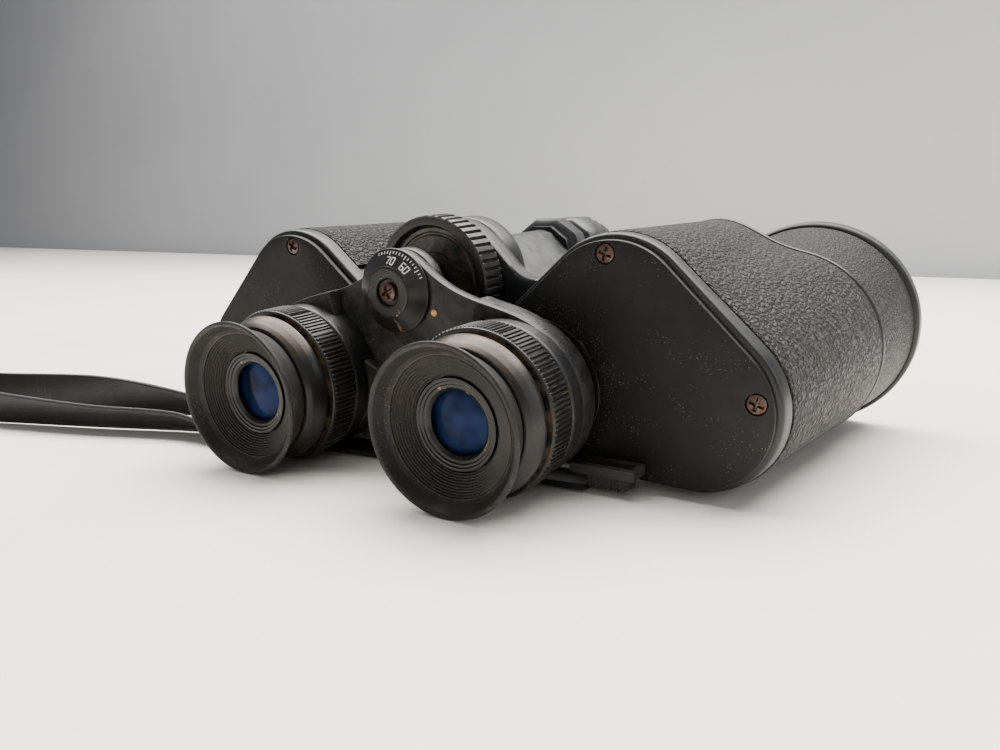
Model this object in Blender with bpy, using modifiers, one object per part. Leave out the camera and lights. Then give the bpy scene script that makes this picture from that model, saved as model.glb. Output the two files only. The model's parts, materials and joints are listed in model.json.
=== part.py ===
"""Centre-focus Porro prism binoculars, 10x50 size, lying on a table with the neck strap trailing to the left.

Everything but the strap is drawn in the binoculars' own frame: the hinge axis is Y, the eyepieces point to
-Y, the right half is at +X.  One empty tips that frame so that the eyecups and the objective rings stand on
the table at Z = 0.
"""
import math

import bmesh
import bpy
from mathutils import Matrix, Vector

MM = 0.001

# Driving dimensions, metres
OCULAR = (29.0 * MM, -22.8 * MM)            # eyepiece axis of the right half, from the hinge axis
CORNER = (47.5 * MM, -6.4 * MM)             # folded beam between the two prisms
OBJECTIVE = (65.5 * MM, -24.4 * MM)         # objective axis
REAR_LOBE = 17.7 * MM                       # housing radius round each of the three axes, rear end
FRONT_LOBE = 15.2 * MM                      # same at the front end, round the ocular and the corner
FRONT_BARREL = 25.2 * MM                    # same at the front end, round the objective
HOUSING_Y = (2.1 * MM, 69.9 * MM)
SHELF_Y = (34.5 * MM, 37.5 * MM)
WALL = 2.2 * MM
GAP = 0.3 * MM                              # between pieces
SKIN_GAP = 0.4 * MM
SKIN = 0.8 * MM                             # leatherette thickness
EYECUP_RADIUS = 18.1 * MM
EYECUP_END = -38.8 * MM
RIM_RADIUS = 31.0 * MM
RIM_END = 111.4 * MM
TUBE_RADIUS = 8.3 * MM                      # hinge tube
REAR_LUG = 14.8 * MM
FRONT_LUG = 11.3 * MM
SHAFT_RADIUS = 4.0 * MM
HINGE_BORE = 4.9 * MM
ARM_Y = (-13.5 * MM, -7.0 * MM)
ARM_SPLIT = -10.25 * MM                     # the two arm hubs lie one behind the other
SECTION_POINTS = 40
LARGE = 32                                  # steps round a large turned piece
MEDIUM = 24
SMALL = 14
STRAP_WIDTH = 12.0 * MM
STRAP_THICKNESS = 1.3 * MM
ROLL_CENTRE = (-190.0 * MM, -111.0 * MM)    # the rest of the strap is rolled up here, on the table
ROLL_RADIUS = 34.0 * MM

# The binoculars rest on both eyecups and both objective rings
REST_DROP = (RIM_RADIUS - OBJECTIVE[1]) - (EYECUP_RADIUS - OCULAR[1])
TILT = math.atan2(REST_DROP, RIM_END - EYECUP_END)
RIM_CHAMFER = 0.8 * MM
REAR_REACH = EYECUP_END * math.cos(TILT) - (OCULAR[1] + EYECUP_RADIUS) * math.sin(TILT)
FRONT_REACH = RIM_END * math.cos(TILT) - (OBJECTIVE[1] - RIM_RADIUS + RIM_CHAMFER) * math.sin(TILT)
REST_SHIFT_Y = -(REAR_REACH + FRONT_REACH) / 2

AXES = {"right": 1, "left": -1}


# ---------------------------------------------------------------- scene and materials

def clear_scene():
    for item in list(bpy.data.objects):
        bpy.data.objects.remove(item, do_unlink=True)


def new_collection(name):
    made = bpy.data.collections.new(name)
    bpy.context.scene.collection.children.link(made)
    return made


clear_scene()
PARTS = new_collection("binoculars")
CUTTERS = new_collection("cutters")


def material(name, colour, metallic, roughness, transmission=0.0):
    made = bpy.data.materials.new(name)
    made.use_nodes = True
    shader = made.node_tree.nodes["Principled BSDF"]
    shader.inputs["Base Color"].default_value = (*colour, 1.0)
    shader.inputs["Metallic"].default_value = metallic
    shader.inputs["Roughness"].default_value = roughness
    shader.inputs["Transmission Weight"].default_value = transmission
    return made


MATERIALS = {
    "body": material("body_paint", (0.014, 0.014, 0.015), 0.0, 0.42),
    "plate": material("plate_paint", (0.012, 0.012, 0.012), 0.0, 0.5),
    "leatherette": material("leatherette", (0.045, 0.045, 0.047), 0.0, 0.62),
    "anodised": material("anodised_black", (0.02, 0.018, 0.017), 0.6, 0.35),
    "rubber": material("rubber", (0.028, 0.027, 0.027), 0.0, 0.7),
    "steel": material("screw_steel", (0.3, 0.22, 0.17), 0.9, 0.45),
    "lens": material("lens_glass", (0.35, 0.5, 0.8), 0.0, 0.03, 0.9),
    "prism": material("prism_glass", (0.9, 0.95, 0.97), 0.0, 0.02, 0.9),
    "dot": material("index_paint", (0.75, 0.32, 0.08), 0.0, 0.5),
    "vinyl": material("strap_vinyl", (0.022, 0.022, 0.023), 0.0, 0.45),
}


def link(name, data, slot, parent, collection=None):
    made = bpy.data.objects.new(name, data)
    (collection or PARTS).objects.link(made)
    made.parent = parent
    if slot:
        data.materials.append(MATERIALS[slot])
    return made


def empty(name, location, parent=None):
    made = bpy.data.objects.new(name, None)
    PARTS.objects.link(made)
    made.empty_display_size = 0.01
    made.location = location
    made.parent = parent
    return made


# ---------------------------------------------------------------- shape tools

def turned(name, profile, slot, parent, at=(0.0, 0.0), steps=LARGE, closed=True):
    """A piece turned round an axis along Y.  profile is (radius, y), down the outer side from front to rear."""
    mesh = bpy.data.meshes.new(name)
    count = len(profile)
    edges = [(i, i + 1) for i in range(count - 1)]
    if closed:
        edges.append((count - 1, 0))
    mesh.from_pydata([(radius, 0.0, y) for radius, y in profile], edges, [])
    made = link(name, mesh, slot, parent)
    made.location = (at[0], 0.0, at[1])
    made.rotation_euler = (-math.pi / 2, 0.0, 0.0)
    screw = made.modifiers.new("turn", "SCREW")
    screw.axis = "Z"
    screw.steps = steps
    screw.render_steps = steps
    screw.use_merge_vertices = True
    screw.merge_threshold = 0.00001
    screw.use_smooth_shade = True
    return made


def ring(name, radii, span, slot, parent, at=(0.0, 0.0), steps=MEDIUM):
    inner, outer = radii
    rear, front = span
    profile = [(outer, front), (outer, rear), (inner, rear), (inner, front)]
    return turned(name, profile, slot, parent, at, steps)


def mesh_object(name, bm, slot, parent, collection=None):
    bmesh.ops.recalc_face_normals(bm, faces=bm.faces)
    mesh = bpy.data.meshes.new(name)
    bm.to_mesh(mesh)
    bm.free()
    return link(name, mesh, slot, parent, collection)


def prism_mesh(outline, span):
    """bmesh of an outline in X and Z drawn out between two Y values."""
    bm = bmesh.new()
    corners = [bm.verts.new((x, span[0], z)) for x, z in outline]
    face = bm.faces.new(corners)
    made = bmesh.ops.extrude_face_region(bm, geom=[face])
    moved = [item for item in made["geom"] if isinstance(item, bmesh.types.BMVert)]
    bmesh.ops.translate(bm, verts=moved, vec=(0.0, span[1] - span[0], 0.0))
    return bm


def loft_mesh(sections):
    """bmesh through closed sections with equal point counts, capped at both ends."""
    bm = bmesh.new()
    rings = [[bm.verts.new(point) for point in section] for section in sections]
    for near, far in zip(rings, rings[1:]):
        for i in range(len(near)):
            j = (i + 1) % len(near)
            bm.faces.new((near[i], near[j], far[j], far[i]))
    bm.faces.new(rings[0])
    bm.faces.new(list(reversed(rings[-1])))
    return bm


def circle_outline(centre, radius, count):
    angles = [2 * math.pi * i / count for i in range(count)]
    return [(centre[0] + radius * math.cos(a), centre[1] + radius * math.sin(a)) for a in angles]


def hull_outline(circles, count=40):
    """Outline of the hull round circles given as (x, z, radius)."""
    points = []
    for i in range(count):
        angle = 2 * math.pi * i / count
        nx, nz = math.cos(angle), math.sin(angle)
        x, z, radius = max(circles, key=lambda c: c[0] * nx + c[1] * nz + c[2])
        points.append((x + radius * nx, z + radius * nz))
    return points


def plate_curve(name, outlines, span, slot, parent, side=1):
    """Flat plate with holes: nested closed outlines in X and Z, drawn out along Y."""
    curve = bpy.data.curves.new(name, "CURVE")
    curve.dimensions = "2D"
    curve.fill_mode = "BOTH"
    curve.extrude = (span[1] - span[0]) / 2
    for outline in outlines:
        spline = curve.splines.new("POLY")
        spline.points.add(len(outline) - 1)
        for point, (x, z) in zip(spline.points, outline):
            point.co = (side * x, -z, 0.0, 1.0)
        spline.use_cyclic_u = True
    made = link(name, curve, slot, parent)
    made.location = (0.0, (span[0] + span[1]) / 2, 0.0)
    made.rotation_euler = (-math.pi / 2, 0.0, 0.0)
    return made


def boolean(target, cutter, operation):
    cutter.hide_render = True
    cutter.display_type = "WIRE"
    made = target.modifiers.new(cutter.name, "BOOLEAN")
    made.operation = operation
    made.solver = "EXACT"
    made.object = cutter
    return made


def tool(name, bm, parent):
    return mesh_object(name, bm, None, parent, CUTTERS)


def cylinder_tool(name, centre, radius, span, parent, count=MEDIUM):
    return tool(name, prism_mesh(circle_outline(centre, radius, count), span), parent)


# ---------------------------------------------------------------- housing sections

def segment_distance(point, a, b):
    px, pz = point[0] - a[0], point[1] - a[1]
    bx, bz = b[0] - a[0], b[1] - a[1]
    along = max(0.0, min(1.0, (px * bx + pz * bz) / (bx * bx + bz * bz)))
    return math.hypot(px - along * bx, pz - along * bz)


def triangle_distance(point, corners):
    edges = list(zip(corners, corners[1:] + corners[:1]))
    nearest = min(segment_distance(point, a, b) for a, b in edges)
    turns = [(b[0] - a[0]) * (point[1] - a[1]) - (b[1] - a[1]) * (point[0] - a[0]) for a, b in edges]
    inside = all(turn <= 0 for turn in turns) or all(turn >= 0 for turn in turns)
    return -nearest if inside else nearest


def smooth_union(a, b, width):
    blend = max(width - abs(a - b), 0.0) / width
    return min(a, b) - blend * blend * width / 4


def rear_shape(point):
    return triangle_distance(point, [OCULAR, CORNER, OBJECTIVE]) - REAR_LOBE


def front_shape(point):
    lobes = segment_distance(point, OCULAR, CORNER) - FRONT_LOBE
    barrel = math.hypot(point[0] - OBJECTIVE[0], point[1] - OBJECTIVE[1]) - FRONT_BARREL
    return smooth_union(lobes, barrel, 9 * MM)


def housing_shape(point, y):
    share = (y - HOUSING_Y[0]) / (HOUSING_Y[1] - HOUSING_Y[0])
    share = max(0.0, min(1.0, share))
    return rear_shape(point) * (1 - share) + front_shape(point) * share


def outline_at(shape, offset, centre, count=SECTION_POINTS):
    """Outline where shape(point) equals offset, found along rays from a centre inside it."""
    points = []
    for i in range(count):
        angle = 2 * math.pi * i / count
        near, far = 0.0, 80 * MM
        for _ in range(34):
            middle = (near + far) / 2
            point = (centre[0] + middle * math.cos(angle), centre[1] + middle * math.sin(angle))
            if shape(point) < offset:
                near = middle
            else:
                far = middle
        points.append((centre[0] + near * math.cos(angle), centre[1] + near * math.sin(angle)))
    return points


SECTION_CENTRE = (51 * MM, -19 * MM)


def housing_section(y, offset, side, count=SECTION_POINTS):
    outline = outline_at(lambda point: housing_shape(point, y), offset, SECTION_CENTRE, count)
    return [(side * x, y, z) for x, z in outline]


def housing_loft(stations, side, count=SECTION_POINTS):
    """stations are (y, offset from the housing's base surface)."""
    return loft_mesh([housing_section(y, offset, side, count) for y, offset in stations])


def mirrored(point, side):
    return (side * point[0], point[1])


# ---------------------------------------------------------------- housings

WEB_END = (25 * MM, -11 * MM)               # where the hinge web meets the housing
LUGS = {                                    # front and rear ends of each half's hinge lugs
    "right": ((7.6 * MM, 13.6 * MM), (64.8 * MM, 84.0 * MM)),
    "left": ((13.9 * MM, 20.3 * MM), (54.3 * MM, 64.5 * MM)),
}
TUBE_Y = (20.0 * MM, 54.0 * MM)


def prism_housing(half, parent):
    side = AXES[half]
    rear_lug, front_lug = LUGS[half]
    stations = [(HOUSING_Y[0], 0.9 * MM), (6.6 * MM, 0.9 * MM), (6.6 * MM, 0.0), (20 * MM, 0.0)]
    stations += [(37 * MM, 0.0), (54 * MM, 0.0), (HOUSING_Y[1], 0.0)]
    body = mesh_object(f"{half}_prism_housing", housing_loft(stations, side), "body", parent)

    web_circles = [(0.0, 0.0, TUBE_RADIUS), (side * WEB_END[0], WEB_END[1], 6 * MM)]
    web_span = (rear_lug[0], min(front_lug[1], HOUSING_Y[1] - GAP))
    web = tool(f"{half}_web_tool", prism_mesh(hull_outline(web_circles, 32), web_span), parent)
    boolean(body, web, "UNION")
    if half == "left":
        clear_tube = (rear_lug[1], front_lug[0])
        tube_clearance = TUBE_RADIUS + 1.1 * MM
        boolean(body, cylinder_tool("left_tube_clearance", (0, 0), tube_clearance, clear_tube, parent), "DIFFERENCE")
    else:
        clear_rear = (rear_lug[1], LUGS["left"][0][1] + GAP)
        boolean(body, cylinder_tool("right_rear_lug_clearance", (0, 0), REAR_LUG + 0.4 * MM, clear_rear, parent),
                "DIFFERENCE")
        clear_front = (LUGS["left"][1][0] - GAP, LUGS["right"][1][0])
        boolean(body, cylinder_tool("right_lug_clearance", (0, 0), FRONT_LUG + 0.7 * MM, clear_front, parent),
                "DIFFERENCE")
    lug_outline = circle_outline((0, 0), REAR_LUG, LARGE)
    boolean(body, tool(f"{half}_rear_lug_tool", prism_mesh(lug_outline, rear_lug), parent), "UNION")
    facets = circle_outline((0, 0), FRONT_LUG, 10)
    boolean(body, tool(f"{half}_front_lug_tool", prism_mesh(facets, front_lug), parent), "UNION")

    inner = -WALL
    rear_cavity = housing_loft([(HOUSING_Y[0] - 2 * MM, inner), (20 * MM, inner), (SHELF_Y[0], inner)], side, 36)
    boolean(body, tool(f"{half}_rear_cavity", rear_cavity, parent), "DIFFERENCE")
    front_cavity = housing_loft([(SHELF_Y[1], inner), (54 * MM, inner), (HOUSING_Y[1] + 2 * MM, inner)], side, 36)
    boolean(body, tool(f"{half}_front_cavity", front_cavity, parent), "DIFFERENCE")
    shelf_span = (SHELF_Y[0] - 1 * MM, SHELF_Y[1] + 1 * MM)
    for label, centre, radius in (("ocular", OCULAR, 8.5), ("corner", CORNER, 8.5), ("objective", OBJECTIVE, 10)):
        hole = cylinder_tool(f"{half}_{label}_aperture", mirrored(centre, side), radius * MM, shelf_span, parent, 20)
        boolean(body, hole, "DIFFERENCE")
    bore_span = (rear_lug[0] - 1 * MM, front_lug[1] + 1 * MM)
    boolean(body, cylinder_tool(f"{half}_hinge_bore", (0, 0), HINGE_BORE, bore_span, parent, 24), "DIFFERENCE")
    return body


def covering(half, parent):
    """Leatherette round the housing, open where the hinge web joins it."""
    side = AXES[half]
    span = (6.9 * MM, 69.6 * MM)
    angles = range(SECTION_POINTS)
    stations = [span[0], 20 * MM, 37 * MM, 54 * MM, span[1]]
    outer = [housing_section(y, SKIN_GAP + SKIN, side) for y in stations]
    inner = [housing_section(y, SKIN_GAP, side) for y in stations]
    keep = [i for i in angles if not covering_gap(outer[0][i], side) and not covering_gap(outer[-1][i], side)]
    start = next(i for i in keep if (i - 1) % SECTION_POINTS not in keep)
    order = [(start + k) % SECTION_POINTS for k in range(len(keep))]
    sections = []
    for outside, inside in zip(outer, inner):
        sections.append([outside[i] for i in order] + [inside[i] for i in reversed(order)])
    return mesh_object(f"{half}_housing_covering", loft_mesh(sections), "leatherette", parent)


def covering_gap(point, side):
    """True on the strip facing the hinge, which the web takes."""
    x, z = side * point[0], point[2]
    towards_hinge = -0.664 * (x - OCULAR[0]) + 0.749 * (z - OCULAR[1]) > 8 * MM
    return towards_hinge and x < 40 * MM


def rear_cover(half, parent):
    side = AXES[half]
    outline = outline_at(rear_shape, -0.35 * MM, SECTION_CENTRE, 56)
    hole = circle_outline(OCULAR, 15.7 * MM, 32)
    holes = [circle_outline(point, 2.4 * MM, 14) for point in PLATE_SCREWS]
    return plate_curve(f"{half}_rear_cover", [outline, hole] + holes, (0.0, 1.8 * MM), "plate", parent, side)


def front_cover(half, parent):
    side = AXES[half]
    outline = outline_at(front_shape, 1.55 * MM, SECTION_CENTRE, 56)
    hole = circle_outline(OBJECTIVE, 19.5 * MM, 36)
    return plate_curve(f"{half}_front_cover", [outline, hole], (70.2 * MM, 71.9 * MM), "body", parent, side)


PLATE_SCREWS = [(46.2 * MM, 8.0 * MM), (79.1 * MM, -21.3 * MM)]


def plate_screws(half, parent):
    """Countersunk cross-head screws of the rear cover."""
    side = AXES[half]
    for label, centre in zip(("upper", "outer"), PLATE_SCREWS):
        profile = [(0.0, 1.7 * MM), (1.2 * MM, 1.7 * MM), (2.1 * MM, 0.5 * MM), (2.1 * MM, 0.0)]
        profile += [(1.3 * MM, -0.35 * MM), (0.0, -0.45 * MM)]
        turned(f"{half}_{label}_cover_screw", profile, "steel", parent, mirrored(centre, side), 14, False)


def prisms(half, parent):
    """Porro prisms on both sides of the shelf: roof edge away from it, long face on it."""
    side = AXES[half]
    places = (
        ("rear", OBJECTIVE, CORNER, SHELF_Y[0] - GAP, -1),
        ("front", OCULAR, CORNER, SHELF_Y[1] + GAP, 1),
    )
    for label, a, b, base, way in places:
        middle = ((a[0] + b[0]) / 2, (a[1] + b[1]) / 2)
        length = math.hypot(b[0] - a[0], b[1] - a[1])
        along = ((b[0] - a[0]) / length, (b[1] - a[1]) / length)
        across = (-along[1], along[0])
        half_long, half_wide, depth, roof = 21 * MM, 9.5 * MM, 19 * MM, 2 * MM
        bm = bmesh.new()
        corners = []
        for u in (-half_wide, half_wide):
            for v, y in ((-half_long, 0.0), (half_long, 0.0), (roof, depth), (-roof, depth)):
                x = middle[0] + along[0] * v + across[0] * u
                z = middle[1] + along[1] * v + across[1] * u
                corners.append(bm.verts.new((side * x, base + way * y, z)))
        for quad in ((0, 1, 2, 3), (4, 5, 6, 7), (0, 1, 5, 4), (1, 2, 6, 5), (2, 3, 7, 6), (3, 0, 4, 7)):
            bm.faces.new([corners[i] for i in quad])
        mesh_object(f"{half}_{label}_prism", bm, "prism", parent)


# ---------------------------------------------------------------- objectives

def objective(half, parent):
    side = AXES[half]
    at = mirrored(OBJECTIVE, side)
    barrel = [(27.9, 104.5), (24.1, 72.2), (20.3, 72.2), (24.0, 95.5), (26.1, 95.5), (26.1, 104.5)]
    covering_profile = [(29.7, 104.2), (25.9, 73.6), (25.2, 72.6), (24.5, 72.6), (28.15, 104.2)]
    rim = [(30.2, 111.4), (31.0, 110.6), (31.0, 105.6), (30.2, 104.8), (26.4, 104.8), (26.4, 111.4)]
    retainer = [(26.1, 108.2), (26.1, 104.9), (25.2, 104.9), (25.2, 105.6), (24.0, 108.2)]
    lens = [(0.0, 104.3), (14.0, 103.7), (25.4, 101.6), (25.4, 98.4), (14.0, 96.4), (0.0, 95.8)]
    pieces = (
        ("objective_barrel", barrel, "body", True),
        ("barrel_covering", covering_profile, "leatherette", True),
        ("objective_ring", rim, "body", True),
        ("objective_retainer", retainer, "anodised", True),
        ("objective_lens", lens, "lens", False),
    )
    for label, profile, slot, closed in pieces:
        scaled = [(radius * MM, y * MM) for radius, y in profile]
        turned(f"{half}_{label}", scaled, slot, parent, at, LARGE, closed)


# ---------------------------------------------------------------- eyepieces

def guide_tube(half, parent):
    at = mirrored(OCULAR, AXES[half])
    profile = [(14.8, 7.0), (14.8, 2.1), (15.35, 1.9), (15.35, -0.3), (16.3, -0.3), (16.3, -1.5), (14.2, -1.5)]
    profile.append((14.2, 7.0))
    scaled = [(radius * MM, y * MM) for radius, y in profile]
    turned(f"{half}_guide_tube", scaled, "anodised", parent, at, MEDIUM)


def eyepiece_tube(half, parent):
    at = mirrored(OCULAR, AXES[half])
    ring(f"{half}_eyepiece_tube", (12.7 * MM, 13.9 * MM), (-26.4 * MM, 7.0 * MM), "anodised", parent, at, MEDIUM)


def knurled_ring(half, parent):
    at = mirrored(OCULAR, AXES[half])
    profile = [(18.2, -17.9), (18.6, -18.3), (18.6, -25.8), (18.2, -26.2), (14.2, -26.2), (14.2, -17.9)]
    scaled = [(radius * MM, y * MM) for radius, y in profile]
    name = "right_dioptre_ring" if half == "right" else "left_eyepiece_ring"
    turned(name, scaled, "anodised", parent, at, LARGE)


def ocular(half, parent):
    """Lens barrel, lenses, retaining ring and rubber eyecup, one body with the eye lens."""
    at = mirrored(OCULAR, AXES[half])
    barrel = [(12.4, -9.0), (12.4, -27.6), (16.6, -27.6), (17.3, -28.4), (16.9, -31.6), (9.7, -31.6), (9.7, -26.0)]
    barrel += [(10.9, -24.0), (10.9, -9.0)]
    eyecup = [(14.9, -31.9), (14.9, -33.2), (15.9, -34.8), (16.6, -36.4), (18.1, -38.2), (18.1, -38.8)]
    eyecup += [(17.2, -38.8), (16.6, -37.9), (14.1, -36.9), (13.2, -35.8), (11.6, -34.9), (10.1, -34.0)]
    eyecup += [(10.1, -31.9)]
    retainer = [(9.7, -31.8), (9.7, -33.3), (7.9, -33.3), (6.9, -32.2), (6.9, -31.8)]
    eye_lens = [(0.0, -26.8), (9.3, -27.6), (9.3, -29.8), (5.0, -31.0), (0.0, -31.3)]
    field_lens = [(0.0, -10.2), (10.6, -12.0), (10.6, -13.6), (0.0, -14.6)]
    pieces = (
        ("ocular_barrel", barrel, "anodised", True),
        ("eyecup", eyecup, "rubber", True),
        ("eye_lens_retainer", retainer, "anodised", True),
        ("eye_lens", eye_lens, "lens", False),
        ("field_lens", field_lens, "prism", False),
    )
    for label, profile, slot, closed in pieces:
        scaled = [(radius * MM, y * MM) for radius, y in profile]
        steps = LARGE if label == "eyecup" else MEDIUM
        turned(f"{half}_{label}", scaled, slot, parent, at, steps, closed)


# ---------------------------------------------------------------- bridge and focusing

def arm_shape(point):
    holder = math.hypot(point[0] - OCULAR[0], point[1] - OCULAR[1]) - 16.6 * MM
    neck = segment_distance(point, (0.0, 0.0), OCULAR) - 9.4 * MM
    return smooth_union(neck, holder, 18 * MM)


def bridge_arm(half, parent):
    """Arm from the focusing shaft to the eyepiece; the right hub lies behind the left one."""
    side = AXES[half]
    centre = (18 * MM, -14 * MM)
    outline = [mirrored(point, side) for point in outline_at(arm_shape, 0.0, centre, 48)]
    arm = mesh_object(f"{half}_bridge_arm", prism_mesh(outline, ARM_Y), "body", parent)
    collar = circle_outline(mirrored(OCULAR, side), 18.2 * MM, LARGE)
    collar_tool = tool(f"{half}_collar_tool", prism_mesh(collar, (-17.5 * MM, ARM_Y[0] + 1 * MM)), parent)
    boolean(arm, collar_tool, "UNION")
    other_hub = 21 * MM
    if half == "right":
        clear = (ARM_SPLIT - GAP / 2, ARM_Y[1] + 1 * MM)
    else:
        clear = (ARM_Y[0] - 1 * MM, ARM_SPLIT + GAP / 2)
    boolean(arm, cylinder_tool(f"{half}_hub_clearance", (0, 0), other_hub, clear, parent, 40), "DIFFERENCE")
    through = (-18 * MM, ARM_Y[1] + 1 * MM)
    boolean(arm, cylinder_tool(f"{half}_tube_hole", mirrored(OCULAR, side), 14.2 * MM, through, parent), "DIFFERENCE")
    boolean(arm, cylinder_tool(f"{half}_shaft_hole", (0, 0), SHAFT_RADIUS + GAP, through, parent, 20), "DIFFERENCE")
    return arm


def focusing(parent_wheel, parent_left, parent_right):
    wheel = [(15.6, 7.2), (16.1, 6.7), (16.1, 0.2), (15.6, -0.3), (13.6, -0.3), (13.3, 1.4)]
    wheel += [(4.3, 1.4), (4.3, 7.2)]
    turned("focus_wheel", [(r * MM, y * MM) for r, y in wheel], "anodised", parent_wheel)
    shaft = [(0.0, 36.0 * MM), (SHAFT_RADIUS, 36.0 * MM), (SHAFT_RADIUS, -13.5 * MM), (0.0, -13.5 * MM)]
    turned("focus_shaft", shaft, "anodised", parent_left, steps=20, closed=False)
    cap = [(9.8, -13.8), (9.4, -14.4), (5.9, -16.7), (5.5, -16.9), (3.2, -16.9), (2.9, -15.9), (0.0, -15.9)]
    cap = [(0.0, -13.8)] + cap
    turned("scale_cap", [(r * MM, y * MM) for r, y in cap], "anodised", parent_left, closed=False, steps=MEDIUM)
    screw = [(0.0, -16.1), (2.6, -16.1), (2.6, -16.6), (1.6, -17.2), (0.0, -17.3)]
    turned("scale_cap_screw", [(r * MM, y * MM) for r, y in screw], "steel", parent_left, closed=False, steps=SMALL)
    dot = [(0.0, -13.6), (0.8, -13.6), (0.8, -13.75), (0.0, -13.8)]
    dot_at = (10.5 * MM, -4.6 * MM)
    turned("index_dot", [(r * MM, y * MM) for r, y in dot], "dot", parent_right, dot_at, 10, False)


def hinge_parts(parent):
    """Axle through the front lugs and the threaded end cap that a tripod bracket screws onto."""
    axle = [(0.0, 84.6), (4.6, 84.6), (4.6, 42.0), (0.0, 42.0)]
    turned("hinge_axle", [(r * MM, y * MM) for r, y in axle], "steel", parent, closed=False, steps=20)
    cap = [(2.6, 88.0), (7.6, 88.0), (8.2, 87.4), (8.2, 84.9), (2.6, 84.9)]
    turned("hinge_end_cap", [(r * MM, y * MM) for r, y in cap], "anodised", parent, steps=MEDIUM)


# ---------------------------------------------------------------- neck strap

LUG_X = 48.0 * MM
# Strap centre lines on the table, rest frame: x, y, z in metres and the lean of the band from flat, degrees
LEFT_ROUTE = [
    (-54.0, -41.6, 1.6, 0), (-60.0, -41.6, 2.4, 12), (-72.0, -42.4, 4.0, 35), (-93.0, -44.5, 5.2, 50),
    (-118.0, -54.0, 6.4, 75), (-142.0, -70.0, 6.6, 85), (-160.0, -75.6, 6.65, 90), (-184.0, -76.2, 6.65, 90),
]
RIGHT_ROUTE = [
    (44.0, -36.5, 1.4, 0), (30.0, -36.8, 1.0, 0), (0.0, -39.2, 1.0, 0), (-24.0, -41.8, 1.0, 0),
    (-38.0, -45.4, 1.0, 0), (-54.0, -55.6, 2.6, 20), (-71.0, -58.0, 3.9, 35), (-97.0, -69.6, 4.6, 42),
    (-127.0, -80.6, 5.6, 60), (-146.0, -86.0, 6.6, 85), (-161.0, -86.5, 6.65, 90), (-163.0, -86.4, 6.65, 90),
]


def strap_lug(half, parent):
    """Slotted bracket on the lower edge of the rear cover, flat side up."""
    side = AXES[half]
    curve = bpy.data.curves.new(f"{half}_strap_lug", "CURVE")
    curve.dimensions = "2D"
    curve.fill_mode = "BOTH"
    curve.extrude = 1.1 * MM
    for half_x, rear, front in ((7.6 * MM, -6.6 * MM, -0.3 * MM), (6.3 * MM, -4.9 * MM, -2.0 * MM)):
        spline = curve.splines.new("POLY")
        spline.points.add(3)
        corners = ((-half_x, rear), (half_x, rear), (half_x, front), (-half_x, front))
        for point, (x, y) in zip(spline.points, corners):
            point.co = (x, y, 0.0, 1.0)
        spline.use_cyclic_u = True
    made = link(f"{half}_strap_lug", curve, "body", parent)
    made.location = (side * LUG_X, 0.0, -38.6 * MM)


def smooth_route(route, share=3):
    """Points and leans on one smooth curve through the route's own points."""
    padded = [route[0]] + list(route) + [route[-1]]
    smooth = []
    for k in range(1, len(padded) - 2):
        a, b, c, d = padded[k - 1:k + 3]
        for step in range(share):
            t = step / share
            value = []
            for p, q, r, s in zip(a, b, c, d):
                bend = (2 * p - 5 * q + 4 * r - s) * t * t + (3 * q - p - 3 * r + s) * t * t * t
                value.append(0.5 * (2 * q + (r - p) * t + bend))
            smooth.append(value)
    return smooth + [list(route[-1])]


def strap_run(name, waypoints):
    """Flat band along a smooth route, leaning by the angle given at each point."""
    route = smooth_route(waypoints)
    points = [Vector(point[:3]) * MM for point in route]
    sections = []
    for i, point in enumerate(points):
        ahead = points[min(i + 1, len(points) - 1)] - points[max(i - 1, 0)]
        ahead.z = 0.0
        ahead.normalize()
        level = Vector((-ahead.y, ahead.x, 0.0))
        lean = math.radians(route[i][3])
        across = level * math.cos(lean) + Vector((0, 0, 1)) * math.sin(lean)
        through = Vector((0, 0, 1)) * math.cos(lean) - level * math.sin(lean)
        width, thick = across * (STRAP_WIDTH / 2), through * (STRAP_THICKNESS / 2)
        section = [point - width - thick, point + width - thick, point + width + thick, point - width + thick]
        lift = max(0.0, 0.3 * MM - min(corner.z for corner in section))
        sections.append([corner + Vector((0, 0, lift)) for corner in section])
    bm = loft_mesh(sections)
    bmesh.ops.triangulate(bm, faces=bm.faces)
    return mesh_object(name, bm, "vinyl", None)


def strap_roll():
    """Outer shape of the rolled-up length of strap."""
    outline = circle_outline(ROLL_CENTRE, ROLL_RADIUS, LARGE)
    bm = bmesh.new()
    face = bm.faces.new([bm.verts.new((x, y, 0.5 * MM)) for x, y in outline])
    made = bmesh.ops.extrude_face_region(bm, geom=[face])
    moved = [item for item in made["geom"] if isinstance(item, bmesh.types.BMVert)]
    bmesh.ops.translate(bm, verts=moved, vec=(0.0, 0.0, STRAP_WIDTH + 0.3 * MM))
    return mesh_object("strap_roll", bm, "vinyl", None)


# ---------------------------------------------------------------- assembly

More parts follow.
